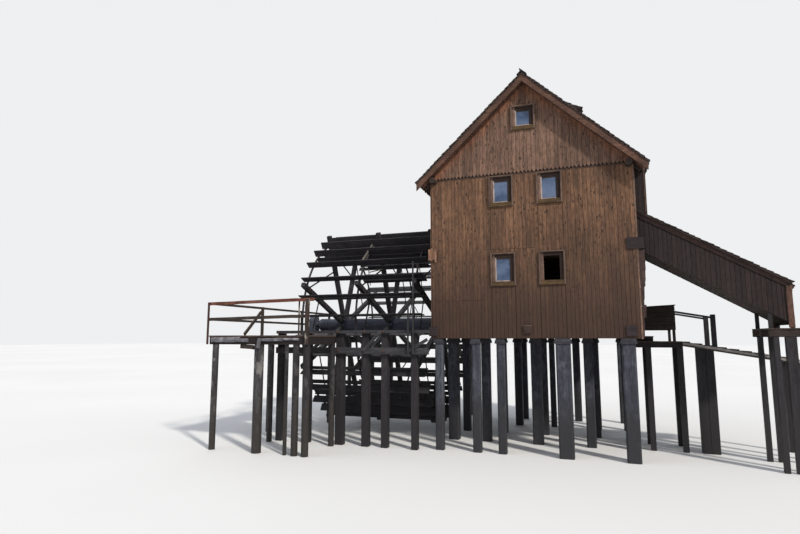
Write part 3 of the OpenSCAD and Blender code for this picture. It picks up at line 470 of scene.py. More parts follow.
# Pale brown for the windows' left linings: painted sunlight on that reveal
painted_light_lining_wood = timber("painted_light_lining_wood", (132, 106, 94), (86, 66, 57), knots=0.1,
                          dusty=0.3)
# Near-white wood for the casements' left stiles and bottom rails: a painted highlight of
# sunlight
casement_painted_highlight_wood = timber("casement_painted_highlight_wood", (176, 162, 154), (138, 124, 116),
                            knots=0.0, dusty=0.0)
sill_wood = timber("window_sill_wood", (92, 72, 46), (58, 43, 28), knots=0.2, dusty=0.4,
                   dust=(110, 94, 60))
# Dark brown for the casements' right stiles and top rails: painted shade
casement_painted_shade_wood = timber("casement_painted_shade_wood", (60, 45, 38), (38, 28, 24), knots=0.2)
# Corner boards, darkened a little as painted shade
corner_wood = timber("corner_board_wood", (114, 90, 76), (72, 54, 46), knots=0.4)
shingle_wood = timber("shingle_wood", (86, 72, 64), (40, 32, 30), knots=0.1, dusty=0.35,
                      dust=(104, 96, 88), dry=0.88)
edge_shingle_wood = timber("edge_shingle_wood", (62, 50, 46), (30, 23, 23), knots=0.1)
barge_wood = timber("barge_wood", (100, 72, 58), (62, 43, 36), knots=0.5)
fascia_wood = timber("fascia_wood", (74, 54, 48), (42, 31, 30), knots=0.4)
# Dark weathered boards for the gallery, head house, dormer, door and parapets, and for the
# gables' strips of painted shadow; darkened further as painted shade of the gallery
dark_boards_with_painted_shade = timber("dark_boards_with_painted_shade_wood", (46, 35, 32), (24, 18, 19), knots=0.5, dusty=0.15)
edge_log_wood = timber("edge_log_wood", (126, 124, 130), (44, 38, 40), "x",
                       dust=(150, 148, 153), raised=0.9, patchy=0.6)
wheel_dark = timber("wheel_boards_wood", (48, 44, 48), (20, 18, 22), knots=0.3, dusty=0.25,
                    dust=(74, 74, 78), dry=0.66)
lath_wood = timber("lath_wood", (146, 140, 134), (82, 76, 72), knots=0.1, dusty=0.3)
red_rail = timber("red_rail_wood", (112, 62, 48), (56, 32, 27), knots=0.3, dusty=0.3,
                  dust=(134, 98, 82), patchy=0.3)
corner_post_wood = timber("corner_post_wood", (84, 50, 41), (42, 27, 24), knots=0.3)
brown_rail = timber("brown_rail_wood", (66, 56, 48), (32, 27, 25), knots=0.3, dusty=0.3)
post_wood = timber("end_post_wood", (66, 52, 45), (32, 25, 23), knots=0.7, dusty=0.3,
                   dust=(146, 138, 130), patchy=0.8)
deck_boards_wood = timber("deck_boards_wood", (92, 74, 64), (50, 37, 32), knots=0.5,
                          dusty=0.35)
beam_boards = timber("beam_boards_wood", (62, 50, 44), (32, 26, 24), knots=0.4, dusty=0.3)
landing_wood = timber("landing_wood", (56, 45, 40), (30, 24, 22), knots=0.4, dusty=0.3)
# Near-white for the ramp's side beams: pale weathered wood, brightened further as painted light
# to offset the gallery's shadow on them
ramp_edge_pale_and_painted_light_wood = timber("ramp_edge_pale_and_painted_light_wood", (188, 184, 180), (120, 114, 110), knots=0.3,
                        dusty=0.3, dust=(196, 194, 190))
# Pale orange splints: bare wood, partly painted sunlight
lit_end = timber("lit_beam_end_wood", (156, 118, 94), (76, 50, 38), knots=0.8)
bolt_iron = iron("bolt_iron", (70, 62, 58), (92, 56, 40))

# How each solid is finished, by its node
NODE_FINISH = {
    "front_wall": timber("wall_frame_wood", (84, 66, 52), (50, 38, 32), "z"),
    "front_gable": timber("gable_frame_wood", (92, 70, 56), (58, 42, 34), "z"),
    "main_floor": timber("floor_wood", (128, 104, 80), (80, 62, 48), "y"),
    # The roof's underside is lighter and redder, partly as painted light on the shade under the
    # eaves and verges
    "roof_left": timber("roof_underside_wood", (112, 78, 62), (60, 42, 35), "y", dusty=0.0),
    # The house's piles: darkened in part as painted shade
    "house_piles": timber("pile_wood", (74, 76, 86), (32, 33, 40), "z", knots=0.3,
                          dust=(100, 102, 112), level=1.0, damp=(40, 40, 42),
                          dampness=0.85, raised=0.9, patchy=0.3),
    # The piles' caps: darkened in part as painted shade
    "pile_caps": timber("cap_wood", (64, 64, 70), (30, 30, 35), "x", knots=0.3),
    "sill_beams": timber("sill_beam_wood", (70, 58, 49), (36, 29, 26), "x"),
    # The axle: darker and bluer in part as painted shade, the blue standing for skylight in
    # shade
    "wheel_axle": timber("axle_wood", (70, 74, 86), (28, 31, 40), "x", knots=0.4,
                         dusty=0.3, dust=(92, 96, 106), dry=0.7),
    "wheel_arms": timber("arm_wood", (48, 44, 48), (20, 18, 22), "spoke", knots=0.3,
                         dusty=0.25, dust=(74, 74, 78), dry=0.66),
    "wheel_hoops": timber("hoop_wood", (52, 48, 52), (22, 20, 24), "x", knots=0.1, dry=0.62),
    # Darkened in part as painted shade, for the ramp's piles under the gallery
    "race_piles_near": timber("race_pile_wood", (52, 49, 52), (24, 23, 26), "z", knots=0.3,
                              level=1.0, damp=(34, 32, 34), dampness=0.85),
    "race_rails_near": timber("race_rail_wood", (68, 67, 70), (33, 32, 35), "x",
                              knots=0.3, dusty=0.35),
    "race_rails_far": timber("race_rail_far_wood", (56, 53, 55), (27, 25, 29), "x",
                             knots=0.3, dusty=0.3),
    "bearing_blocks": timber("bearing_wood", (74, 80, 92), (34, 36, 44), "z", knots=0.3),
    # Near black, in part as painted shade: the platform's beams and the decks of the platform,
    # landing and porch
    "platform_beams": timber("platform_beam_wood", (38, 31, 30), (20, 17, 17), "x",
                             knots=0.3),
    # The logs under the platform: those nearer the race, from X = -8.1 on, are darkened as
    # painted shade
    "platform_piles": timber("log_pile_wood", (78, 76, 79), (30, 28, 29), "z", knots=0.9,
                             dust=(128, 126, 124), level=1.2, reach=0.9,
                             damp=(44, 40, 38), dampness=0.9, raised=0.9, patchy=0.65,
                             painted_shade_from=-8.1),
    "gallery_walls": timber("gallery_frame_wood", (56, 44, 40), (32, 25, 24), "x"),
    "gallery_floor": timber("gallery_floor_wood", (66, 53, 46), (38, 30, 28), "x"),
    "porch_parapet": timber("parapet_wood", (50, 40, 36), (28, 23, 23), "x"),
    "ramp": timber("ramp_wood", (84, 74, 68), (46, 39, 36), "x", dusty=0.3),
    # Darkened in part as painted shade
    "beam_ends": timber("beam_end_wood", (60, 48, 50), (31, 24, 27), "x", knots=0.3),
    "barge_boards": timber("barge_board_wood", (100, 72, 58), (62, 43, 36), "x", knots=0.5),
    "window_panes": window_glass("window_glass"),
    "window_frames": timber("window_frame_wood", (126, 96, 74), (84, 60, 46), "z"),
    "porch_door": timber("porch_door_wood", (96, 70, 54), (58, 40, 32), "z"),
    "platform_railing": timber("railing_wood", (92, 74, 62), (48, 38, 34), "y"),
}
# Solids that are finished like another one
SAME_FINISH = {
    "front_wall": ("back_wall", "left_wall", "right_wall"),
    "front_gable": ("back_gable",),
    "main_floor": ("upper_floor", "attic_floor", "door_frames"),
    "roof_left": ("roof_right", "ridge_cap"),
    "gallery_walls": ("dormer_roof", "gallery_roof", "dormer_walls", "head_house"),
    "race_piles_near": ("race_piles_far", "ramp_piles", "landing_posts", "ramp_rails"),
    "platform_beams": ("landing_deck", "platform_deck", "porch_deck"),
    "wheel_hoops": ("wheel_paddles",),
}


def finish_solids():
    """Gives every solid of the mill its wood or glass"""
    finishes = dict(NODE_FINISH)
    for first, others in SAME_FINISH.items():
        finishes.update({other: NODE_FINISH[first] for other in others})
    for name, solid in nodes.items():
        if not solid.material_slots:
            solid.data.materials.append(finishes[name])
        for place in solid.material_slots:
            place.material = finishes[name]


# Ways to make pieces


def select_nothing():
    """Leaves edit mode, with nothing selected"""
    if bpy.context.mode != "OBJECT":
        bpy.ops.object.mode_set(mode="OBJECT")
    bpy.ops.object.select_all(action="DESELECT")


def select_only(piece):
    """Leaves one piece selected and active"""
    select_nothing()
    piece.select_set(True)
    bpy.context.view_layer.objects.active = piece


def add_object(name, mesh):
    """Puts a mesh in the scene as an object"""
    made = bpy.data.objects.new(name, mesh)
    bpy.context.scene.collection.objects.link(made)
    return made


def start_block(size):
    """A block of a size in the middle of the scene, the only thing selected"""
    select_nothing()
    bpy.ops.mesh.primitive_cube_add(size=1)
    block = bpy.context.object
    block.scale = size
    bpy.ops.object.transform_apply(location=False, rotation=False, scale=True)
    return block


def edit_all():
    """Goes on in edit mode with the whole piece selected"""
    bpy.ops.object.mode_set(mode="EDIT")
    bpy.ops.mesh.select_all(action="SELECT")


def choose_faces(piece, wanted):
    """Selects a piece's faces that a test picks, and goes on in edit mode"""
    bpy.ops.object.mode_set(mode="EDIT")
    bpy.ops.mesh.select_mode(type="FACE")
    bpy.ops.mesh.select_all(action="DESELECT")
    bpy.ops.object.mode_set(mode="OBJECT")
    for face in piece.data.polygons:
        face.select = wanted(face)
    bpy.ops.object.mode_set(mode="EDIT")


def draw_out(*way):
    """Extrudes the selected faces a way"""
    bpy.ops.mesh.extrude_region_move(TRANSFORM_OT_translate={"value": way})


def take_edges_off(edge, clamp=False):
    """Bevels all the edges of the piece in edit mode"""
    bpy.ops.mesh.select_all(action="SELECT")
    bpy.ops.mesh.bevel(offset=edge, segments=1, affect="EDGES", clamp_overlap=clamp)


def cut_in_lengths(length, cuts):
    """Cuts the whole of a piece along X into equal lengths, and stays in edit mode"""
    edit_all()
    for step in range(1, cuts):
        bpy.ops.mesh.select_all(action="SELECT")
        place = length * (step / cuts - 0.5)
        bpy.ops.mesh.bisect(plane_co=(place, 0, 0), plane_no=(1, 0, 0))


def as_pattern(piece, size):
    """Takes a shaped piece out of the scene as a pattern, kept with its size"""
    select_nothing()
    mesh = piece.data.copy()
    bpy.data.objects.remove(piece)
    return mesh, size


def board_pattern(size, edge):
    """A board with its edges taken off, along X, with its face up"""
    board = start_block(size)
    edit_all()
    take_edges_off(edge)
    return as_pattern(board, size)


def toothed_pattern(size, tooth, edge):
    """A board whose foot, at its low X end, runs out in a point"""
    board = start_block(size)
    choose_faces(board, lambda face: face.normal.x < -0.9)
    draw_out(-tooth, 0, 0)
    bpy.ops.transform.resize(value=(1, 0.12, 1))
    take_edges_off(edge)
    return as_pattern(board, size)


def shingle_pattern(size):
    """A split shingle: thin at its head, thick and with its corners off at its foot"""
    shingle = start_block(size)
    choose_faces(shingle, lambda face: face.normal.x > 0.9)
    bpy.ops.transform.resize(value=(1, 0.96, 0.25))
    choose_faces(shingle, lambda face: face.normal.x < -0.9)
    draw_out(-0.02, 0, 0)
    bpy.ops.transform.resize(value=(1, 0.62, 0.9))
    return as_pattern(shingle, size)


def rough_pattern(size, cuts, wander, edge):
    """A hewn timber: cut in lengths, each a little out of line, with its edges off"""
    beam = start_block(size)
    cut_in_lengths(size[0], cuts)
    take_edges_off(edge, True)
    bpy.ops.object.mode_set(mode="OBJECT")
    shifts = {}
    for point in beam.data.vertices:
        step = round(point.co.x / size[0] * cuts)
        if step not in shifts:
            shifts[step] = (draw.uniform(-wander, wander), draw.uniform(-wander, wander))
        point.co.y += shifts[step][0]
        point.co.z += shifts[step][1]
    return as_pattern(beam, size)


def log_pattern(length, radius, cuts, wander):
    """A barked log along X, with lengths that are a little out of line and of round"""
    select_nothing()
    bpy.ops.mesh.primitive_cylinder_add(vertices=14, radius=radius, depth=length,
                                        rotation=(0, math.pi / 2, 0))
    trunk = bpy.context.object
    bpy.ops.object.transform_apply(location=False, rotation=True, scale=False)
    cut_in_lengths(length, cuts)
    bpy.ops.object.mode_set(mode="OBJECT")
    for point in trunk.data.vertices:
        point.co.y += draw.uniform(-wander, wander)
        point.co.z += draw.uniform(-wander, wander)
    choose_faces(trunk, lambda face: abs(face.normal.x) > 0.9)
    bpy.ops.mesh.inset(thickness=radius * 0.15)
    return as_pattern(trunk, (length, radius * 2, radius * 2))


def bolt_pattern():
    """A square-headed bolt on its washer, standing on the XY plane"""
    select_nothing()
    radius = 0.04
    washer_t = 0.008
    head_h = 0.022
    crown_h = 0.004
    bpy.ops.mesh.primitive_cylinder_add(vertices=10, radius=radius, depth=washer_t,
                                        location=(0, 0, washer_t / 2))
    washer = bpy.context.object
    bpy.ops.object.transform_apply(location=True, rotation=False, scale=False)
    choose_faces(washer, lambda face: face.normal.z > 0.9)
    bpy.ops.mesh.inset(thickness=0.018)
    draw_out(0, 0, head_h)
    bpy.ops.mesh.inset(thickness=0.004)
    bpy.ops.transform.translate(value=(0, 0, crown_h))
    return as_pattern(washer, (2 * radius, 2 * radius, washer_t + head_h + crown_h))


def seat_matrix(along, outward, centre):
    """The place of a piece: its length along one way and its face towards another"""
    along = Vector(along).normalized()
    across = Vector(outward).cross(along).normalized()
    outward = along.cross(across)
    turn = Matrix((along, across, outward)).transposed().to_4x4()
    return Matrix.Translation(Vector(centre)) @ turn


def keep_grain(mesh, tone):
    """Keeps where each point lies on its own board, for the grain to follow"""
    start = Vector([draw.uniform(-20, 20) for _ in range(3)])
    mesh.attributes.new("grain", "FLOAT_VECTOR", "POINT")
    mesh.attributes.new("tone", "FLOAT", "POINT")
    grain = mesh.attributes["grain"].data
    shade = mesh.attributes["tone"].data
    for point in mesh.vertices:
        grain[point.index].vector = point.co + start
        shade[point.index].value = tone


def lay(pattern, size, along, outward, centre, stretch=False):
    """A copy of a pattern with its own mesh, laid in its place and brought to a size

    A stretched copy is scaled. Any other has its two ends, sides and faces moved apart,
    which leaves its edges as they are."""
    source, first = pattern
    mesh = source.copy()
    for point in mesh.vertices:
        for axis in range(3):
            if stretch:
                point.co[axis] *= size[axis] / first[axis]
            else:
                side = 1 if point.co[axis] > 0 else -1
                point.co[axis] += side * (size[axis] - first[axis]) / 2
    keep_grain(mesh, draw.random())
    mesh.transform(seat_matrix(along, outward, centre))
    return add_object(source.name, mesh)


def lay_between(pattern, first, last, width, thick, outward, stretch=False):
    """A copy of a pattern from one point to another"""
    first, last = Vector(first), Vector(last)
    size = ((last - first).length, width, thick)
    return lay(pattern, size, last - first, outward, (first + last) / 2, stretch)


def lay_block(pattern, low, high, axis):
    """A copy of a pattern that fills a box, with its grain along an axis"""
    low, high = Vector(low), Vector(high)
    size = high - low
    along, outward, order = {"x": (RIGHT, UP, (0, 1, 2)), "y": (BACK, UP, (1, 0, 2)),
                             "z": (UP, -BACK, (2, 0, 1))}[axis]
    return lay(pattern, [size[i] for i in order], along, outward, (low + high) / 2)


def join_loose(parts):
    """Joins parts that are not finished yet, and returns the one object"""
    select_nothing()
    for part in parts:
        part.select_set(True)
    bpy.context.view_layer.objects.active = parts[0]
    if len(parts) > 1:
        bpy.ops.object.join()
    return bpy.context.object


def join_pieces(name, parts, material, stands_for=(), body="mill"):
    """Makes one piece of its parts, with its finish, and sets it to ride on its body"""
    piece = join_loose(parts)
    piece.name = name
    piece.data.name = name
    piece.data.materials.clear()
    piece.data.materials.append(material)
    select_nothing()
    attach(piece, body)
    if stands_for:
        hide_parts(*stands_for)


def trim(piece, point, normal):
    """Saws a piece off along a plane, and drops what lies on the normal's side"""
    select_only(piece)
    edit_all()
    bpy.ops.mesh.bisect(plane_co=point, plane_no=normal, use_fill=True, clear_outer=True)
    select_nothing()


BOARD = board_pattern((1.0, 0.12, BOARD_T), 0.005)
BEAM = board_pattern((1.0, 0.2, 0.2), 0.012)
TOOTHED = toothed_pattern((1.0, 0.112, BOARD_T), 0.075, 0.003)
SHINGLE = shingle_pattern(SHINGLE_SIZE)
ROUGH = rough_pattern((2.0, 0.16, 0.16), 7, 0.007, 0.014)
LOG = log_pattern(3.0, 0.1, 8, 0.006)
BOLT = bolt_pattern()


def hewn(first, last, width, thick, outward):
    """A hewn timber from one point to another"""
    return lay_between(ROUGH, first, last, width, thick, outward, True)


def log(first, last, width, thick, outward):
    """A barked log from one point to another"""
    return lay_between(LOG, first, last, width, thick, outward, True)


def bolt(place, outward, along):
    """A bolt's head on a face, square to a way along it"""
    return lay(BOLT, BOLT[1], along, outward, place)


# Boards of the house


def column_edges(low, high, stops=()):
    """Places of the joints between boards, with joints at every stop"""
    marks = sorted({low, high, *(stop for stop in stops if low < stop < high)})
    edges = [low]
    for first, last in zip(marks, marks[1:]):
        count = max(1, round((last - first) / BOARD_PITCH))
        for step in range(1, count):
            shift = draw.uniform(-JOINT_WANDER, JOINT_WANDER)
            edges.append(first + (last - first) * step / count + shift)
        edges.append(last)
    return edges


def clear_runs(low, high, gaps):
    """The stretches from low to high that no gap takes"""
    runs = [(low, high)]
    for first, last in gaps:
        kept = []
        for a, b in runs:
            kept += [(a, min(b, first)), (max(a, last), b)]
        runs = [(a, b) for a, b in kept if b - a > SHORTEST_BOARD]
    return runs


def board_wall(start, right, low, high, foot, top, holes=(), seams=(), thick=BOARD_T):
    """Upright boards over a wall with holes, each hole and seam in the wall's own measures"""
    outward = right.cross(UP)
    stops = [edge for hole in holes for edge in hole[:2]]
    edges = column_edges(low, high, stops)
    boards = []
    for first, last in zip(edges, edges[1:]):
        middle = (first + last) / 2
        gaps = [hole[2:] for hole in holes if hole[0] < middle < hole[1]]
        gaps += [(seam[2] - SEAM_HALF, seam[2] + SEAM_HALF) for seam in seams
                 if seam[0] < middle < seam[1]]
        for a, b in clear_runs(foot, top, gaps):
            size = (b - a, last - first - BOARD_GAP, thick)
            out = thick / 2 + draw.uniform(0.0, BOARD_RISE)
            centre = start + right * middle + outward * out + UP * (a + b) / 2
            boards.append(lay(BOARD, size, UP, outward, centre))
    return boards


def window_hole(place, sill, width, height, inset=CASING_IN):
    """The hole in the boards for a window, a little smaller than its casing"""
    return (place - width / 2 + inset + WINDOW_LAP,
            place + width / 2 + CASING_PAST - WINDOW_LAP,
            WALL_Z + sill + WINDOW_LAP, WALL_Z + sill + height - WINDOW_LAP)


def window_holes(windows, sense):
    """The holes for a wall's windows, mirrored where the sense is -1"""
    return [window_hole(place * sense, *rest) for place, *rest in windows]


# Each window as its place along its wall, its sill above the floor, its width and height
OPEN_WINDOW = (0.65, 1.64, 0.84, 1.05)
FRONT_WINDOWS = [(-0.845, 1.64, 0.84, 1.05), OPEN_WINDOW,
                 (-0.86, 4.19, 0.84, 1.02), (0.64, 4.19, 0.84, 1.02)]
GABLE_WINDOW = (-0.07, 6.66, 0.76, 0.83)
LEFT_WINDOWS = [(-2.05, 4.19, 0.84, 1.02), (2.05, 4.19, 0.84, 1.02)]
RIGHT_WINDOWS = [(2.05, 1.64, 0.84, 1.05), (2.05, 4.19, 0.84, 1.02), (0.0, 4.19, 0.84, 1.02)]

# Each wall as the middle of its outer face and its way to the right, seen from outside
FRONT = (Vector((0, -HALF_D, 0)), RIGHT)
REAR = (Vector((0, HALF_D, 0)), -RIGHT)
LEFT_SIDE = (Vector((-HALF_W, 0, 0)), -BACK)
RIGHT_SIDE = (Vector((HALF_W, 0, 0)), BACK)

# Holes in the boards for the axle, the doorway, the gallery's head and its beam's end
AXLE_HOLE = (-0.16, 0.16, AXLE_Z - 0.16, AXLE_Z + 0.16)
DOOR_HOLE = (-1.75, -0.85, 3.4, 5.85)
GALLERY_HOLE = (GALLERY_Y0, GALLERY_Y1, 6.15, WALL_BOARDS_TOP)
BEAM_HOLE = (-HALF_D - 0.01, GALLERY_Y0, 6.11, 6.46)


def make_house_wall(name, wall, half, holes, seams):
    """The upright boards of one wall; a seam is where its boards are pieced in height"""
    boards = board_wall(*wall, -half, half, WALL_Z, WALL_BOARDS_TOP, holes, seams)
    join_pieces(name, boards, wall_wood)


def make_wall_boards():
    """The boards of the four walls, and dark strips of painted shadow under the gables' teeth
    """
    make_house_wall("front_wall_boards", FRONT, HALF_W, window_holes(FRONT_WINDOWS, 1),
                    [(-2.97, -1.42, 4.7), (-1.4, 0.15, 6.31)])
    make_house_wall("back_wall_boards", REAR, HALF_W, window_holes(FRONT_WINDOWS, -1),
                    [(-3.1, -1.5, 5.9), (0.3, 2.2, 4.9)])
    make_house_wall("left_wall_boards", LEFT_SIDE, HALF_D,
                    [*window_holes(LEFT_WINDOWS, -1), AXLE_HOLE], [(0.6, 2.6, 5.4)])
    make_house_wall("right_wall_boards", RIGHT_SIDE, HALF_D,
                    [*window_holes(RIGHT_WINDOWS, 1), DOOR_HOLE, GALLERY_HOLE, BEAM_HOLE],
                    [(1.0, 3.2, 5.7)])
    # Dark strips behind the gables' teeth that stand for the shadow beneath them
    painted_shadow_bands = []
    for side in (-1, 1):
        centre = (0, side * (HALF_D + SKIN + 0.002), GABLE_FOOT - 0.03)
        painted_shadow_bands.append(lay(BOARD, (2 * HALF_W, 0.1, 0.006), RIGHT, (0, side, 0), centre, True))
    join_pieces("gable_foot_painted_shadow_bands", painted_shadow_bands, dark_boards_with_painted_shade)


def make_gable_boards(name, side):
    """The gable's upright boards: pointed at the foot and sawn to the roof's slopes"""
    right = RIGHT * side
    outward = right.cross(UP)
    start = outward * (HALF_D + SKIN)
    middle, *rest = GABLE_WINDOW
    low, high, sill, head = window_hole(middle * side, *rest, GABLE_CASING_IN)
    edges = column_edges(-HALF_W, HALF_W, [low, high])
    boards = []
    for first, last in zip(edges, edges[1:]):
        middle = (first + last) / 2
        top = roof_under(min(abs(first), abs(last))) + 0.02
        out = BOARD_T / 2 + draw.uniform(0.0, BOARD_RISE)
        place = start + right * middle + outward * out
        gaps = [(sill, head)] if low < middle < high else []
        for number, (a, b) in enumerate(clear_runs(GABLE_FOOT, top, gaps)):
            pattern = BOARD if number else TOOTHED
            size = (b - a, last - first - BOARD_GAP, BOARD_T)
            boards.append(lay(pattern, size, UP, outward, place + UP * (a + b) / 2))
    gable = join_loose(boards)
    for lean in (-1, 1):
        trim(gable, (lean * HALF_W, 0, WALL_TOP), (lean * math.sin(PITCH), 0, math.cos(PITCH)))
    join_pieces(name, [gable], gable_wood)


def make_corner_boards():
    """Thin weathered boards over the open edges at the house's corners"""
    boards = []
    low = WALL_Z - 0.02
    high = GABLE_SKIN_FOOT - 0.01
    for x_side in (-1, 1):
        for y_side in (-1, 1):
            x = x_side * (HALF_W + BOARD_T + 0.008)
            y = y_side * (HALF_D - 0.012)
            runs = [(low, high)]
            if x_side > 0 and y_side < 0:
                runs = [(low, 6.1), (6.47, high)]
            for a, b in runs:
                boards.append(lay(BOARD, (b - a, 0.075, 0.016), UP, (x_side, 0, 0),
                                  (x, y, (a + b) / 2)))
    for y_side in (-1, 1):
        centre = (HALF_W + 0.014, y_side * (HALF_D + BOARD_T + 0.007), (low + high) / 2)
        boards.append(lay(BOARD, (high - low, 0.05, 0.014), UP, (0, y_side, 0), centre))
    join_pieces("corner_boards", boards, corner_wood)


# Windows, with how far out of the wall each kind of board has its back or its face

CASING_BACK = -0.075
CASING_FACE = FRAME_PROUD + 0.045
LINING_FACE = 0.02
CASEMENT_FACE = FRAME_PROUD - 0.04
# A lining's width, a casement's thickness, the width of its pale edge of painted highlight and
# how far it stands in
LINING_W = 0.09
CASEMENT_T = 0.04
CASEMENT_HIGHLIGHT_W = 0.04
CASEMENT_IN = 0.1
# Heights over a window's foot where its linings and inner sill start, and that sill's top
SILL_STEP = 0.054
SILL_TOP = 0.135
# How far a cross member's face stays behind that of the uprights that it meets
CROSS_BACK = 0.003


def window_measures(width, height, inset, glazed):
    """Each kind of a window's boards in turn, from its casing to its casement's pale edges of
    painted highlight

    Each board is given by its low and high corner along and up the wall, its back and its
    face out of the wall, and whether it stands."""
    half = width / 2
    left = -half + inset
    reveal = left + CASING_W
    inner = reveal + LINING_W
    far_side = half - 0.022
    far_lining = half - 0.135
    head = height - 0.04
    cross_face = CASING_FACE - 0.004
    casing = [
        ((left, 0), (reveal, height), CASING_BACK, CASING_FACE, True),
        ((far_side, 0), (half + CASING_PAST, height), 0.0, CASING_FACE, True),
        ((reveal, head), (far_side, height), CASING_BACK, cross_face, False),
        ((-half, 0), (left, height), CASING_BACK, -0.002, True),
        ((far_side, 0), (half, height), CASING_BACK, 0.0, True)]
    # The left lining is pale with painted light; the right and top ones are dark with painted
    # shade
    left_lining_in_painted_light = [((reveal, SILL_STEP), (inner, head), CASING_BACK, LINING_FACE, True)]
    lining = [
        ((far_lining, SILL_STEP), (far_side, head), CASING_BACK, LINING_FACE, True),
        ((inner, height - 0.15), (far_lining, head), CASING_BACK, LINING_FACE - CROSS_BACK,
         False)]
    sills = [
        ((reveal, 0), (far_side, 0.06), CASING_BACK, cross_face, False),
        ((reveal, SILL_STEP), (far_side, SILL_TOP), CASING_BACK, CASING_FACE - 0.02, False)]
    if not glazed:
        return casing, left_lining_in_painted_light, lining, sills, [], []
    near = CASEMENT_FACE - CASEMENT_T
    rail_face = CASEMENT_FACE - CROSS_BACK
    low = CASEMENT_IN
    high = height - CASEMENT_IN
    edge = inner + CASEMENT_HIGHLIGHT_W
    far_edge = half - 0.155
    # The right stile and the top rail: dark, as painted shade
    casement = [
        ((far_edge, low), (half - CASEMENT_IN, high), near, CASEMENT_FACE, True),
        ((edge, height - 0.2), (far_edge, high), near, rail_face, False)]
    # The left stile and the bottom rail: pale, as a painted highlight of sunlight on their
    # edges
    edges = [
        ((inner - 0.01, low), (edge, high), near, CASEMENT_FACE, True),
        ((edge, low), (far_edge, 0.178), near, rail_face, False)]
    return casing, left_lining_in_painted_light, lining, sills, casement, edges


def window_member(foot, right, low, high, back, face, upright):
    """One board of a window, whose measures start from the middle of the window's foot"""
    outward = right.cross(UP)
    wide, tall = high[0] - low[0], high[1] - low[1]
    centre = (foot + right * (low[0] + high[0]) / 2 + UP * (low[1] + high[1]) / 2
              + outward * (back + face) / 2)
    if upright:
        return lay(BOARD, (tall, wide, face - back), UP, outward, centre)
    return lay(BOARD, (wide, tall, face - back), right, outward, centre)


def make_windows():
    """All the windows' casings, linings, sills and casements"""
    kinds = [[], [], [], [], [], []]
    for (place, right), windows, sense, proud, inset in (
            (FRONT, FRONT_WINDOWS, 1, 0.0, CASING_IN),
            (REAR, FRONT_WINDOWS, -1, 0.0, CASING_IN),
            (FRONT, [GABLE_WINDOW], 1, SKIN, GABLE_CASING_IN),
            (REAR, [GABLE_WINDOW], -1, SKIN, GABLE_CASING_IN),
            (LEFT_SIDE, LEFT_WINDOWS, -1, 0.0, CASING_IN),
            (RIGHT_SIDE, RIGHT_WINDOWS, 1, 0.0, CASING_IN)):
        for window in windows:
            middle, sill, width, height = window
            foot = place + right * (middle * sense) + UP * (WALL_Z + sill)
            foot += right.cross(UP) * proud
            measures = window_measures(width, height, inset, window != OPEN_WINDOW)
            for kind, boards in zip(kinds, measures):
                kind += [window_member(foot, right, *board) for board in boards]
    casings, left_linings_in_painted_light, linings, sills, casements, edges = kinds
    join_pieces("window_casings", casings, casing_wood, ["window_frames"])
    join_pieces("window_linings_in_painted_shade", linings, painted_shade_lining_wood)
    join_pieces("window_left_linings_in_painted_light", left_linings_in_painted_light, painted_light_lining_wood)
    join_pieces("window_sills", sills, sill_wood)
    join_pieces("window_casements_in_painted_shade", casements, casement_painted_shade_wood)
    join_pieces("window_casement_painted_highlights", edges, casement_painted_highlight_wood)


# Doorway

DOOR_HALF = 0.38
DOOR_FOOT = 3.9
# The face of the wall's inner frame that the door hangs on
DOOR_X = HALF_W - 0.08
# Heights of the ledges across the door's planks, which its hinges are fixed to
LEDGES = (4.15, 5.5)
# How far from the axle the middle of each trim round it lies
AXLE_TRIM = 0.21


def make_door():
    """The porch door's planks, its ledges and its brace"""
    planks = []
    edges = column_edges(PORCH_MIDDLE_Y - DOOR_HALF, PORCH_MIDDLE_Y + DOOR_HALF)
    for first, last in zip(edges, edges[1:]):
        planks.append(lay(BOARD, (1.86, last - first - 0.004, 0.02), UP, RIGHT,
                          (DOOR_X + 0.01, (first + last) / 2, DOOR_FOOT + 0.94)))
    face = DOOR_X + 0.032
    for z in LEDGES:
        planks.append(lay(BOARD, (0.7, 0.13, 0.025), BACK, RIGHT, (face, PORCH_MIDDLE_Y, z)))
    planks.append(lay_between(BOARD, (face, -1.6, 4.2), (face, -1.0, 5.45), 0.12, 0.025,
                              RIGHT))
    join_pieces("porch_door_planks", planks, dark_boards_with_painted_shade)


def make_door_trims():
    """The trims round the doorway and round the axle's hole"""
    trims = []
    for y in (PORCH_MIDDLE_Y - 0.46, PORCH_MIDDLE_Y + 0.46):
        trims.append(lay(BOARD, (1.98, 0.1, 0.03), UP, RIGHT,
                         (HALF_W + 0.016, y, DOOR_FOOT + 0.99)))
    trims.append(lay(BOARD, (1.06, 0.12, 0.034), BACK, RIGHT,
                     (HALF_W + 0.018, PORCH_MIDDLE_Y, 5.92)))
    out = -HALF_W - 0.018
    for y in (-AXLE_TRIM, AXLE_TRIM):
        trims.append(lay(BOARD, (0.54, 0.1, 0.03), UP, -RIGHT, (out, y, AXLE_Z)))
    for z in (AXLE_Z - AXLE_TRIM, AXLE_Z + AXLE_TRIM):
        trims.append(lay(BOARD, (0.32, 0.1, 0.03), BACK, -RIGHT, (out, 0, z)))
    join_pieces("door_trims", trims, casing_wood)


def make_door_irons():
    """The door's strap hinges, its latch plate and its handle"""
    irons = []
    for z in LEDGES:
        irons.append(lay(BOARD, (0.5, 0.045, 0.012), BACK, RIGHT, (DOOR_X + 0.05, -1.43, z)))
    irons.append(lay(BOARD, (0.16, 0.05, 0.02), UP, RIGHT, (DOOR_X + 0.03, -0.98, 4.9)))
    irons.append(lay(BEAM, (0.14, 0.04, 0.04), BACK, RIGHT, (DOOR_X + 0.06, -1.03, 4.93)))
    join_pieces("door_irons", irons, bolt_iron)


# Roofs

SHINGLE_GAP = 0.006
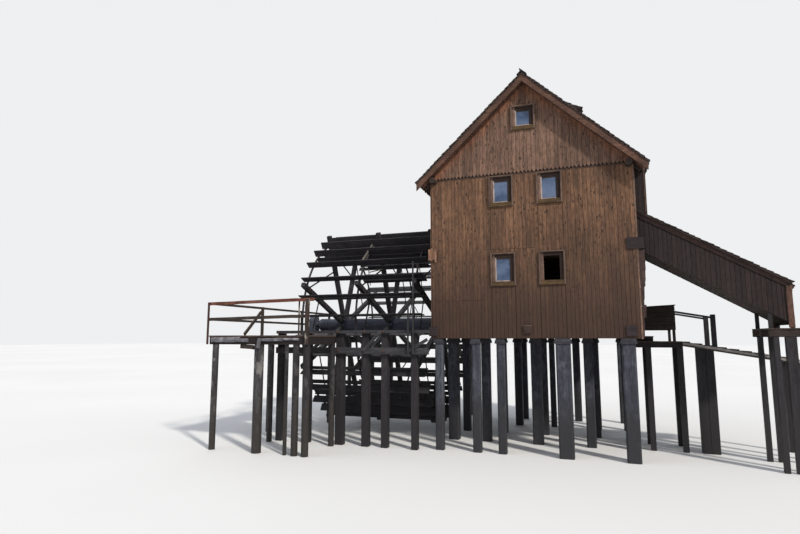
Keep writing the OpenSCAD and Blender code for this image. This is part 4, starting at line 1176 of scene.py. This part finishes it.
# The step between rows of shingles, how far the lowest hangs past its slope's foot, how
# high the rows lie over the slope, how far they shift along it and how they tip up
EXPOSURE = 0.18
ROW_HANG = 0.03
ROW_LIFT = 0.028
ROW_WANDER = 0.02
ROW_TILT = Matrix.Rotation(math.radians(5), 4, "Y")
# What a slope's rows are longer than the roof from verge to verge
VERGE_PAST = 0.1
RIDGE_BOARD_T = 0.024
# The widths of the ridge's boards left and right of it, and how far each laps over it
RIDGE_BOARDS = {-1: (0.18, -0.015), 1: (0.3, 0.1)}
RIDGE_RUNS = ((-4.53, -1.6), (-1.62, 1.5), (1.48, 4.53))
# The dormer on the right slope: its pitch, its middle and half width, where its roof
# starts and ends, and its front
DORMER_PITCH = math.radians(27)
DORMER_Y = -2.4
DORMER_HALF = 0.9
DORMER_TOP_X = 0.42
DORMER_TIP_X = 1.74
DORMER_FRONT_X = 1.65
# The box on the right slope that the dormer takes from the main roof's shingles
DORMER_BOX = (0.46, -3.32, 0), (1.62, -1.48, 20)


def slope_ways(side, pitch):
    """The ways up a slope and out of its face, for a slope that falls to one side"""
    up = Vector((-side * math.cos(pitch), 0, math.sin(pitch)))
    outward = Vector((side * math.sin(pitch), 0, math.cos(pitch)))
    return up, outward


def shingle_row(width):
    """A row of shingles along Y with their feet a little out of line, as one loose object"""
    shingles = []
    place = -width / 2
    while place < width / 2 - 0.03:
        wide = min(draw.uniform(0.09, 0.145), width / 2 - place)
        size = (SHINGLE_SIZE[0], wide - SHINGLE_GAP, SHINGLE_SIZE[2])
        drop = draw.uniform(-0.016, 0.016)
        turn = Vector((1, draw.uniform(-0.03, 0.03), 0))
        centre = (SHINGLE_SIZE[0] / 2 + drop, place + wide / 2, 0)
        shingles.append(lay(SHINGLE, size, turn, UP, centre))
        place += wide
    return join_loose(shingles)


def shingle_slope(foot, up, outward, length, width):
    """Rows of shingles up a slope from the middle of its foot: returns one loose object"""
    patterns = [shingle_row(width) for _ in range(3)]
    rows = []
    for step in range(int(length / EXPOSURE)):
        place = foot + up * (step * EXPOSURE - ROW_HANG) + outward * ROW_LIFT
        place += outward.cross(up) * draw.uniform(-ROW_WANDER, ROW_WANDER)
        mesh = patterns[step % 3].data.copy()
        mesh.transform(seat_matrix(up, outward, place) @ ROW_TILT)
        rows.append(add_object("row", mesh))
    for pattern in patterns:
        bpy.data.objects.remove(pattern)
    return join_loose(rows)


def clear_box(piece, low, high):
    """Takes away the loose shingles whose middle lies in a box"""
    size = len(SHINGLE[0].vertices)
    points = piece.data.vertices
    chosen = set()
    for start in range(0, len(points), size):
        group = range(start, start + size)
        middle = sum((points[i].co for i in group), Vector()) / size
        if all(low[axis] < middle[axis] < high[axis] for axis in range(3)):
            chosen.update(group)
    select_only(piece)
    bpy.ops.object.mode_set(mode="EDIT")
    bpy.ops.mesh.select_mode(type="VERT")
    bpy.ops.mesh.select_all(action="DESELECT")
    bpy.ops.object.mode_set(mode="OBJECT")
    for point in points:
        point.select = point.index in chosen
    bpy.ops.object.mode_set(mode="EDIT")
    bpy.ops.mesh.delete(type="VERT")
    select_nothing()


def make_main_roof():
    """The shingles of the two main slopes and the boards along the ridge"""
    for side, name in ((-1, "roof_left_shingles"), (1, "roof_right_shingles")):
        foot = Vector((side * TIP_X, 0, roof_top(TIP_X)))
        slope = shingle_slope(foot, *slope_ways(side, PITCH), TIP_X / math.cos(PITCH),
                              2 * VERGE_Y + VERGE_PAST)
        if side > 0:
            clear_box(slope, *DORMER_BOX)
        trim(slope, (0, 0, 0), (-side, 0, 0))
        join_pieces(name, [slope], shingle_wood)
    boards = []
    apex = Vector((0, 0, roof_top(0) + 0.05))
    for side, (width, lap) in RIDGE_BOARDS.items():
        up, outward = slope_ways(side, PITCH)
        centre = apex - up * (width / 2 - lap) + outward * RIDGE_BOARD_T / 2
        for start, end in RIDGE_RUNS:
            middle = centre + BACK * (start + end) / 2
            boards.append(lay(BOARD, (end - start, width, RIDGE_BOARD_T), BACK, outward,
                              middle))
    join_pieces("ridge_boards", boards, edge_shingle_wood, ["ridge_cap"])


def make_verge_edges():
    """The ragged ends of the shingle courses on the faces of the barge boards"""
    ends = []
    for y_side in (-1, 1):
        for side in (-1, 1):
            up, outward = slope_ways(side, PITCH)
            foot = Vector((side * TIP_X, y_side * (VERGE_Y + 0.035 + 0.011), roof_top(TIP_X)))
            place = 0.05
            while place < TIP_X / math.cos(PITCH) - 0.06:
                depth = draw.uniform(0.045, 0.07)
                length = draw.uniform(0.16, 0.21)
                lean = (up + outward * draw.uniform(-0.06, -0.01)).normalized()
                centre = foot + up * place + outward * (0.012 - depth / 2)
                ends.append(lay(BOARD, (length, depth, 0.02), lean, (0, y_side, 0), centre))
                place += length * 0.78
    join_pieces("verge_shingle_ends", ends, edge_shingle_wood)


def make_dormer():
    """The dormer's shingles, its boarded front and its sides"""
    rise = 0.08 / math.cos(DORMER_PITCH)
    top_z = roof_top(DORMER_TOP_X)
    tip_z = top_z - (DORMER_TIP_X - DORMER_TOP_X) * math.tan(DORMER_PITCH) + rise
    foot = Vector((DORMER_TIP_X, DORMER_Y, tip_z))
    up, outward = slope_ways(1, DORMER_PITCH)
    slope = shingle_slope(foot, up, outward, 1.75, 1.98)
    trim(slope, (0.05, 0, 0), (-1, 0, 0))
    join_pieces("dormer_shingles", [slope], shingle_wood)
    foot_z = roof_top(DORMER_FRONT_X)
    head_z = top_z - (DORMER_FRONT_X - DORMER_TOP_X) * math.tan(DORMER_PITCH)
    boards = board_wall(Vector((DORMER_FRONT_X, DORMER_Y, 0)), BACK, -DORMER_HALF, DORMER_HALF,
                        foot_z + 0.04, head_z)
    corner = (DORMER_TOP_X, 0, top_z)
    for side in (-1, 1):
        right = -RIGHT * side
        ends = sorted((DORMER_TOP_X * -side, DORMER_FRONT_X * -side))
        start = Vector((0, DORMER_Y + side * DORMER_HALF, 0))
        cheek = join_loose(board_wall(start, right, *ends, foot_z, head_z + 0.8))
        trim(cheek, corner, (math.sin(DORMER_PITCH), 0, math.cos(DORMER_PITCH)))
        trim(cheek, corner, (-math.sin(PITCH), 0, -math.cos(PITCH)))
        boards.append(cheek)
    join_pieces("dormer_boards", boards, dark_boards_with_painted_shade)


def make_eaves():
    """Rafters' ends under the eaves, and the plates' ends under the verges"""
    timbers = []
    rafters = 10
    first_y = -3.98
    for side in (-1, 1):
        up, outward = slope_ways(side, PITCH)
        x = HALF_W + 0.13
        centre = Vector((side * x, 0, roof_under(0) - x * math.tan(PITCH)))
        for step in range(rafters):
            y = first_y - step * 2 * first_y / (rafters - 1)
            if side > 0 and -3.9 < y < -2.5:
                continue
            place = centre + BACK * y - outward * 0.06
            timbers.append(lay(BEAM, (0.36, 0.1, 0.12), up, -outward, place))
    width = 0.2
    for y_side in (-1, 1):
        for x in (-3.02, 3.02):
            z = roof_under(x) - width
            timbers.append(log((x, y_side * (HALF_D + SKIN), z),
                               (x, y_side * (VERGE_Y - 0.06), z), width, width, UP))
    join_pieces("rafter_and_plate_ends", timbers, beam_boards)


# Wheel

ARMS = 8
# Paddles: their number, their angles, their thickness, and how far from the axle the
# outer boards run and the inner ones end
PADDLES = 32
PADDLE_STEP = 11.25
FIRST_PADDLE = 15.14
PADDLE_T = 0.036
PADDLE_OUTER = (3.475, 3.755)
PADDLE_INNER_END = 3.415


def spoke_point(x, reach, angle):
    """A place on the wheel from its distance from the axle and its angle above level"""
    turn = math.radians(angle)
    return Vector((x, -reach * math.cos(turn), AXLE_Z + reach * math.sin(turn)))


def spoke_angles():
    """The angles of the wheel's arms"""
    return [ARM_START + step * ARM_STEP for step in range(ARMS)]


def make_paddles():
    """The wheel's paddle boards, with their ends a little out of line"""
    boards = []
    for number in range(PADDLES):
        angle = FIRST_PADDLE + number * PADDLE_STEP
        turn = math.radians(angle)
        outward = Vector((0, math.sin(turn), math.cos(turn)))
        short = number in (1, 2)
        inner = 3.06 if 3 <= number <= 8 else 3.24
        for (low, high), from_middle in ((PADDLE_OUTER, False),
                                         ((inner, PADDLE_INNER_END), short)):
            start = (-6.02 if from_middle else WHEEL_X0) + draw.uniform(-0.04, 0.03)
            end = WHEEL_X1 + draw.uniform(-0.02, 0.02)
            centre = spoke_point((start + end) / 2, (low + high) / 2, angle)
            size = (end - start, high - low, PADDLE_T)
            boards.append(lay(BOARD, size, RIGHT, outward, centre))
    join_pieces("wheel_paddle_boards", boards, wheel_dark, ["wheel_paddles"],
                "wheel")


def make_wheel_struts():
    """Dark laths from the rim of each arm to the middle of the next one"""
    struts = []
    for ring in RINGS:
        x = ring - 0.105
        for angle in spoke_angles():
            near = spoke_point(x, 3.36, angle + 1.5)
            far = spoke_point(x, 2.35, angle + ARM_STEP)
            struts.append(lay_between(BOARD, near, far, 0.055, 0.03, -RIGHT))
    join_pieces("wheel_struts", struts, wheel_dark, body="wheel")


def make_light_laths():
    """Light laths on the middle and the inner ring"""
    angles = spoke_angles()
    laths = []
    for angle in (angles[0], angles[3], angles[5]):
        x = RINGS[1] + 0.1
        laths.append(lay_between(BOARD, spoke_point(x, 3.4, angle + 14),
                                 spoke_point(x, 2.95, angle + 7), 0.05, 0.02, RIGHT))
    for start in (16.8, 151.8, 241.8):
        x = RINGS[1] - 0.09
        laths.append(lay_between(BOARD, spoke_point(x, 3.72, ARM_START + start),
                                 spoke_point(x, 3.6, ARM_START + start + 19), 0.09, 0.02,
                                 RIGHT))
    for start in (1.5, 6.5, 91.5, 181.5, 186.5):
        x = RINGS[2] - 0.1
        laths.append(lay_between(BOARD, spoke_point(x, 3.66, ARM_START + start + 12),
                                 spoke_point(x, 2.7, ARM_START + start), 0.055, 0.02, RIGHT))
    laths.append(lay_between(BOARD, spoke_point(RINGS[1], 3.1, 37.5),
                             spoke_point(RINGS[2], 3.3, 44), 0.06, 0.03, UP))
    join_pieces("wheel_light_laths", laths, lath_wood, body="wheel")


def make_wheel_bolts():
    """Bolts where the arms cross the hoops and the collars"""
    bolts = []
    for ring in RINGS:
        for angle in spoke_angles():
            for reach, side in ((3.445, 1), (0.75, -1), (0.75, 1)):
                bolts.append(bolt(spoke_point(ring + side * 0.08, reach, angle),
                                  (side, 0, 0), UP))
    join_pieces("wheel_bolts", bolts, bolt_iron, body="wheel")


# Race frame and platform

# Deck boards: their width, their thickness and the gap at each side
DECK_BOARD_W = 0.15
DECK_BOARD_T = 0.048
DECK_GAP = 0.004
# The logs on the near edge as (x, z) of their ends, with their height and depth
EDGE_LOGS = (((-9.94, 3.455), (-8.86, 3.47), 0.16, 0.1),
             ((-9.42, 3.43), (-8.56, 3.445), 0.115, 0.09),
             ((-8.08, 3.455), (-7.3, 3.465), 0.1, 0.08),
             ((-7.55, 3.485), (-6.74, 3.475), 0.075, 0.07))
# The railing along the walkway: its place, its left end, its low rails and its posts
RAIL_X = WALK_X0 + 0.02
RAIL_END_X = -10.125
LOW_RAIL_Z = 4.12
FAR_POSTS = (-3.5, -0.5, 2.1, 4.5)
# The race frame's posts and rails that have bolts, and the outer bearing block
FRAME_POSTS = (-3.695, -4.715, -5.395, -6.335, -7.595, -8.635)
FRAME_RAILS = (3.72, 3.095)
FRAME_FACE_Y = 4.43
BLOCK_X = -9.61
BLOCK_BOLTS = (3.75, 4.25)


def board_deck(low_x, high_x, low_y, high_y, top, thick, axis, overhang=0.0):
    """Deck boards side by side over a box, with their length along an axis"""
    across = (low_y, high_y) if axis == "x" else (low_x, high_x)
    start, end = (low_x, high_x) if axis == "x" else (low_y, high_y)
    count = max(1, round((across[1] - across[0]) / DECK_BOARD_W))
    step = (across[1] - across[0]) / count
    boards = []
    for number in range(count):
        first = across[0] + number * step + DECK_GAP
        last = first + step - 2 * DECK_GAP
        out = draw.uniform(0, overhang), draw.uniform(0, overhang)
        drop = draw.uniform(0, 0.004)
        if axis == "x":
            low = (start - out[0], first, top - thick - drop)
            high = (end + out[1], last, top - drop)
        else:
            low = (first, start - out[0], top - thick - drop)
            high = (last, end + out[1], top - drop)
        boards.append(lay_block(BOARD, low, high, axis))
    return boards


def make_platform_deck():
    """The boards of the walkway and of the near part, and the logs on the near edge"""
    boards = board_deck(WALK_X0, WALK_X1, PLATFORM_Y0, WALK_Y1, DECK_Z, DECK_BOARD_T, "x",
                        0.012)
    boards += board_deck(WALK_X1 + 0.02, PLATFORM_X1, PLATFORM_Y0, PLATFORM_IN_Y, DECK_Z,
                         DECK_BOARD_T, "y", 0.01)
    join_pieces("platform_boards", boards, deck_boards_wood, ["platform_deck"])
    y = PLATFORM_Y0 - 0.01
    logs = []
    for (x0, z0), (x1, z1), width, thick in EDGE_LOGS:
        logs.append(log((x0, y, z0), (x1, y, z1), width, thick, -BACK))
    logs.append(log((-8.13, -6.47, 3.2), (-8.09, -6.45, 3.5), 0.13, 0.1, -BACK))
    join_pieces("platform_edge_log", logs, edge_log_wood)


def make_platform_railing():
    """The platform's posts and rails"""
    y = PLATFORM_Y0 + 0.02
    top = [hewn((RAIL_END_X, y, RAIL_TOP - 0.01), (-6.245, y, RAIL_TOP + 0.06), 0.1, 0.05,
                -BACK)]
    join_pieces("near_top_rail", top, red_rail, ["platform_railing"])
    rails = [hewn((RAIL_END_X, y, LOW_RAIL_Z), (PLATFORM_X1, y, 4.19), 0.1, 0.045, -BACK)]
    for z in (LOW_RAIL_Z, RAIL_TOP):
        rails.append(hewn((RAIL_X, -6.32, z), (RAIL_X, 4.59, z), 0.08, 0.04, -RIGHT))
    for place in FAR_POSTS:
        rails.append(lay_block(BEAM, (RAIL_X + 0.02, place, DECK_Z),
                               (RAIL_X + 0.11, place + 0.1, RAIL_TOP + 0.04), "z"))
    rails.append(hewn((RAIL_X + 0.05, -4.54, 3.645), (RAIL_X + 0.05, -3.53, 4.49), 0.11, 0.06,
                      -RIGHT))
    join_pieces("railing_posts_and_rails", rails, brown_rail)
    corner = [lay_block(BEAM, (RAIL_END_X, PLATFORM_Y0 - 0.06, 3.31),
                        (WALK_X0, PLATFORM_Y0, 4.68), "z")]
    join_pieces("railing_corner_post", corner, corner_post_wood)
    post_y = PLATFORM_Y0 - 0.065
    posts = [hewn((-6.425, post_y, 3.31), (-6.425, post_y, 4.71), 0.115, 0.1, -BACK),
             lay_block(BEAM, (-6.816, -6.32, DECK_Z), (-6.771, -6.275, 4.675), "z")]
    join_pieces("railing_end_posts", posts, post_wood)


def make_frame_bolts():
    """Bolt heads on the race frame's rails and on the outer bearing block"""
    bolts = []
    for x in FRAME_POSTS:
        for z in FRAME_RAILS:
            for side in (-1, 1):
                bolts.append(bolt((x, side * FRAME_FACE_Y, z), (0, side, 0), RIGHT))
    for z in BLOCK_BOLTS:
        for side in (-1, 1):
            for y in (0.2, -0.2):
                bolts.append(bolt((BLOCK_X + side * 0.11, y, z), (side, 0, 0), RIGHT))
    join_pieces("frame_bolts", bolts, bolt_iron)


def make_bearer_block():
    """The packing block under the platform's near beam"""
    y = PLATFORM_Y0 + 0.1
    block = [hewn((-8.88, y, 3.25), (-8.38, y, 3.22), 0.13, 0.1, -BACK)]
    join_pieces("platform_bearer_block", block, beam_boards)


# Gallery and landing

# The gallery's middle, its sides with their ways to the right, and its boards and posts
GALLERY_MIDDLE_Y = -3.2
GALLERY_SIDES = ((GALLERY_Y0, RIGHT), (GALLERY_Y1, -RIGHT))
SIDE_BOARD_T = 0.018
END_POST_X = 6.875
HEAD_HOUSE_X = HALF_W + 0.34
# The landing's ends along the mill, and the near and far faces of its beams
LANDING_X = (6.28, 7.40)
LANDING_BEAMS = ((-3.99, -3.93), (-3.26, -3.14), (-2.47, -2.41))


def make_gallery():
    """The gallery's upright boards, its fascias, its end posts and its shingles"""
    boards = []
    normal = Vector((GALLERY_SLOPE, 0, 1)).normalized()
    wall_foot = gallery_foot(HALF_W)
    for y, right in GALLERY_SIDES:
        start, end = sorted((HALF_W * right.x, GALLERY_X1 * right.x))
        side = join_loose(board_wall(
            Vector((0, y, 0)), right, start, end, gallery_foot(GALLERY_X1) - 0.1,
            wall_foot + GALLERY_H, thick=SIDE_BOARD_T))
        trim(side, (HALF_W, 0, wall_foot - 0.015), -normal)
        trim(side, (HALF_W, 0, wall_foot + GALLERY_H - 0.02), normal)
        boards.append(side)
    join_pieces("gallery_boards", boards, dark_boards_with_painted_shade)
    fascias = []
    x0 = HALF_W + 0.03
    x1 = GALLERY_X1 + 0.05
    for y, face in ((GALLERY_Y0 - 0.04, -BACK), (GALLERY_Y1 + 0.04, BACK)):
        low = gallery_foot(x0) + GALLERY_H - 0.06
        high = gallery_foot(x1) + GALLERY_H - 0.06
        fascias.append(lay_between(BOARD, (x0, y, low), (x1, y, high), 0.12, 0.024, face))
    join_pieces("gallery_fascias", fascias, fascia_wood)
    posts = []
    post_top = gallery_foot(END_POST_X) + GALLERY_H - 0.09
    for y in (GALLERY_Y0 - 0.035, GALLERY_Y1 + 0.035):
        posts.append(hewn((END_POST_X, y, 3.79), (END_POST_X, y, post_top), 0.14, 0.05, -BACK))
    join_pieces("gallery_end_posts", posts, barge_wood)
    angle = math.atan(GALLERY_SLOPE)
    foot = Vector((GALLERY_X1, GALLERY_MIDDLE_Y,
                   gallery_foot(GALLERY_X1) + GALLERY_H + GALLERY_ROOF_V))
    slope = shingle_slope(foot, *slope_ways(1, angle), GALLERY_RUN / math.cos(angle), 1.55)
    trim(slope, (HALF_W + 0.02, 0, 0), (-1, 0, 0))
    join_pieces("gallery_shingles", [slope], shingle_wood)


def make_head_house():
    """Upright boards round the shaft at the head of the gallery"""
    x = HEAD_HOUSE_X
    foot = gallery_foot(x) + GALLERY_H + GALLERY_ROOF_V + 0.02
    head = roof_under(0) - x * math.tan(PITCH)
    boards = board_wall(Vector((x, GALLERY_MIDDLE_Y, 0)), BACK, -0.65, 0.65, foot, head + 0.02)
    for y, right in GALLERY_SIDES:
        start, end = sorted(((HALF_W + 0.02) * right.x, (x + BOARD_T) * right.x))
        boards += board_wall(Vector((0, y, 0)), right, start, end, foot + 0.1, head)
    join_pieces("head_house_boards", boards, dark_boards_with_painted_shade)
    strip = [lay(BOARD, (head - foot - 0.1, 0.035, 0.014), UP, -BACK,
                 (x - 0.02, GALLERY_Y0 - BOARD_T - 0.01, (head + foot) / 2 + 0.05))]
    join_pieces("head_house_strip", strip, barge_wood)


def make_landing():
    """The landing's boards and edge beams"""
    boards = board_deck(*LANDING_X, -4.0, -2.4, 3.78, DECK_BOARD_T, "y", 0.015)
    for near, far in LANDING_BEAMS:
        boards.append(lay_block(BEAM, (LANDING_X[0], near, 3.54), (LANDING_X[1], far, 3.732),
                                "x"))
    join_pieces("landing_boards", boards, landing_wood, ["landing_deck"])


# Porch and ramp

# The steps at the door, and the parapets' boards from their foot up
PORCH_BOARD_T = 0.03
STEP_DEPTH = 0.26
STEP_RISE = 0.5 / 3
PARAPET_BOARDS = 5
PARAPET_FOOT = 3.775
PARAPET_PITCH = 0.142
PARAPET_X1 = 4.3
RAMP_BOARDS = 22
RAMP_BATTENS = 9


def make_porch():
    """The porch's boards, its steps' treads and its parapets' boards"""
    boards = board_deck(HALF_W, PORCH_X1, PORCH_Y0, PORCH_Y1, PORCH_Z + 0.012, PORCH_BOARD_T,
                        "y", 0.012)
    for step in (1, 2):
        rise = PORCH_Z + step * STEP_RISE
        depth = (3 - step) * STEP_DEPTH
        boards += board_deck(HALF_W + 0.02, HALF_W + depth + 0.02, -1.77, -0.83, rise + 0.014,
                             PORCH_BOARD_T, "y")
    join_pieces("porch_boards", boards, deck_boards_wood)
    sides = []
    x = HALF_W + 0.03
    for y in (PORCH_Y0 - 0.001, PORCH_Y1 - 0.12 - 0.001):
        for row in range(PARAPET_BOARDS):
            middle = PARAPET_FOOT + row * PARAPET_PITCH + 0.066
            lift = 0.0 if row < PARAPET_BOARDS - 1 else 0.05
            sides.append(lay_between(BOARD, (x, y - 0.01, middle),
                                     (PARAPET_X1, y - 0.01, middle + lift), 0.136, 0.02, -BACK))
        sides.append(lay_between(BEAM, (x, y + 0.02, 4.5), (4.33, y + 0.02, 4.56), 0.11, 0.035,
                                 UP))
    join_pieces("parapet_boards", sides, dark_boards_with_painted_shade)


def make_ramp():
    """The ramp's boards with cross battens, and its pale side beams"""
    boards = []
    drop = Vector((1, 0, -RAMP_SLOPE)).normalized()
    outward = Vector((RAMP_SLOPE, 0, 1)).normalized()
    length = (RAMP_X1 - PORCH_X1) / drop.x
    head = Vector((PORCH_X1, PORCH_MIDDLE_Y, RAMP_Z0))
    size = (1.25, length / RAMP_BOARDS - 0.008, 0.024)
    for number in range(RAMP_BOARDS):
        place = head + drop * (length * (number + 0.5) / RAMP_BOARDS)
        centre = place + outward * 0.012 + BACK * draw.uniform(-0.01, 0.01)
        boards.append(lay(BOARD, size, BACK, outward, centre))
    for number in range(RAMP_BATTENS):
        place = head + drop * (0.2 + number * 0.34)
        boards.append(lay(BOARD, (1.1, 0.05, 0.03), BACK, outward, place + outward * 0.038))
    join_pieces("ramp_boards", boards, deck_boards_wood)
    beams = []
    for y, face in ((PORCH_Y0 - 0.012, -BACK), (PORCH_Y1 + 0.012, BACK)):
        low = Vector((PORCH_X1, y, RAMP_Z0 - 0.035))
        beams.append(hewn(low, low + drop * length, 0.07, 0.025, face))
    join_pieces("ramp_edge_beams", beams, ramp_edge_pale_and_painted_light_wood)


# The splints' left and right edges, foot and head
SPLINTS = ((-3.228, -3.15, 6.06, 6.42), (-3.155, -3.08, 6.03, 6.45),
           (-3.085, -3.01, 6.07, 6.4), (-3.015, -2.95, 5.99, 6.43))


def make_corner_packing():
    """The notched strip at the right front corner"""
    strip = []
    z = WALL_Z + 0.02
    while z < 5.95:
        height = draw.uniform(0.12, 0.42)
        out = 0.05 + 0.05 * (z - WALL_Z) + draw.uniform(-0.02, 0.04)
        wander = draw.uniform(0.0, 0.02)
        x = HALF_W + 0.03 + out / 2
        strip.append(hewn((x, -HALF_D + wander, z), (x + wander, -HALF_D + 0.01, z + height),
                          out, 0.04, -BACK))
        z += height * 0.92
    join_pieces("corner_packing", strip, fascia_wood)


def make_front_box():
    """The small box with its lid at the front wall's foot"""
    y = -HALF_D - BOARD_T
    box = [lay_block(BEAM, (-0.2, y - 0.07, 3.64), (0.03, y + 0.005, 3.87), "x")]
    join_pieces("front_box", box, fascia_wood)
    lid = [lay_block(BOARD, (-0.215, y - 0.085, 3.87), (0.045, y + 0.005, 3.895), "x")]
    join_pieces("front_box_lid", lid, casing_wood)


def make_lit_beam_end():
    """The splints of bare wood on the left beam's end, pale and warm partly as painted sunlight
    """
    splints = []
    for low, high, foot, head in SPLINTS:
        splints.append(lay_block(BOARD, (low, -4.168, foot), (high, -4.146, head), "z"))
    join_pieces("lit_beam_end", splints, lit_end)


# Studio


def camera_share(tree, camera_colour, other_colour):
    """One colour for what the camera and reflections see and one for the light: the mix,
    and 1 where it is seen"""
    path = put(tree, "ShaderNodeLightPath")
    seen = maths(tree, "MAXIMUM", path.outputs["Is Camera Ray"],
                 maths(tree, "MAXIMUM", path.outputs["Is Glossy Ray"],
                       path.outputs["Is Transmission Ray"]))
    return mixed(tree, seen, other_colour, camera_colour), seen


def make_floor():
    """A plain pale floor"""
    select_nothing()
    bpy.ops.mesh.primitive_plane_add(size=600, location=(0, 0, -0.005))
    floor = bpy.context.object
    floor.name = "floor"
    bpy.ops.object.transform_apply(location=True, rotation=True, scale=True)
    material, tree, place = new_material("studio_floor")
    shade = spread(tree, noise(tree, place, 0.05, 2.0), 0.3, 0.7)
    finish_material(tree, {
        "Base Color": mixed(tree, shade, (0.74, 0.74, 0.73, 1), (0.78, 0.78, 0.77, 1)),
        "Roughness": spread(tree, shade, 0.0, 1.0, 0.88, 0.95),
        "Specular IOR Level": 0.1})
    floor.data.materials.append(material)


def make_world():
    """A plain pale surround that lights the mill softly"""
    world = bpy.data.worlds.new("studio_world")
    bpy.context.scene.world = world
    world.use_nodes = True
    tree = world.node_tree
    tree.nodes.clear()
    sky, seen = camera_share(tree, (0.86, 0.87, 0.88, 1), (0.86, 0.9, 1.0, 1))
    strength = plus(tree, times(tree, seen, 1 - SKY_STRENGTH), SKY_STRENGTH)
    back = put(tree, "ShaderNodeBackground", {"Color": sky, "Strength": strength})
    put(tree, "ShaderNodeOutputWorld", {"Surface": back.outputs[0]})


def make_sun(name, strength, size, direction, tint):
    """A distant lamp that shines in a direction, with its disc's size in degrees"""
    light = bpy.data.lights.new(name, "SUN")
    light.energy = strength
    light.angle = math.radians(size)
    light.color = tint
    lamp = bpy.data.objects.new(name, light)
    lamp.rotation_euler = Vector(direction).to_track_quat("-Z", "Y").to_euler()
    bpy.context.scene.collection.objects.link(lamp)


def make_lights():
    """A key light from the upper right in front, and soft weak fills from left and behind"""
    make_sun("key_light", 3.2, 4.5, (-1.3, 1.0, -1.2), (1.0, 0.95, 0.88))
    make_sun("fill_light", 0.45, 60, (1.0, 0.6, -0.6), (0.92, 0.95, 1.0))
    make_sun("back_light", 0.5, 60, (0.5, -1.0, -0.7), (0.92, 0.95, 1.0))


def make_camera():
    """The camera where the photograph's own was"""
    data = bpy.data.cameras.new("photo_camera")
    data.lens = CAMERA_LENS
    data.sensor_width = 36
    data.clip_end = 500
    camera = bpy.data.objects.new("photo_camera", data)
    camera.location = CAMERA_PLACE
    camera.rotation_euler = (math.radians(90 + CAMERA_TILT), 0, math.radians(CAMERA_TURN))
    bpy.context.scene.collection.objects.link(camera)
    bpy.context.scene.camera = camera


def make_mill():
    """Everything on the mill, in the order in which the random values are drawn"""
    finish_solids()
    make_wall_boards()
    make_gable_boards("front_gable_boards", 1)
    make_gable_boards("back_gable_boards", -1)
    make_corner_boards()
    make_windows()
    make_door()
    make_door_trims()
    make_door_irons()
    make_main_roof()
    make_verge_edges()
    make_dormer()
    make_eaves()
    make_paddles()
    make_wheel_struts()
    make_light_laths()
    make_wheel_bolts()
    make_platform_deck()
    make_platform_railing()
    make_frame_bolts()
    make_bearer_block()
    make_gallery()
    make_head_house()
    make_landing()
    make_porch()
    make_ramp()
    make_corner_packing()
    make_front_box()
    make_lit_beam_end()


make_mill()
make_floor()
make_world()
make_lights()
make_camera()
bpy.context.scene.view_settings.view_transform = "Standard"
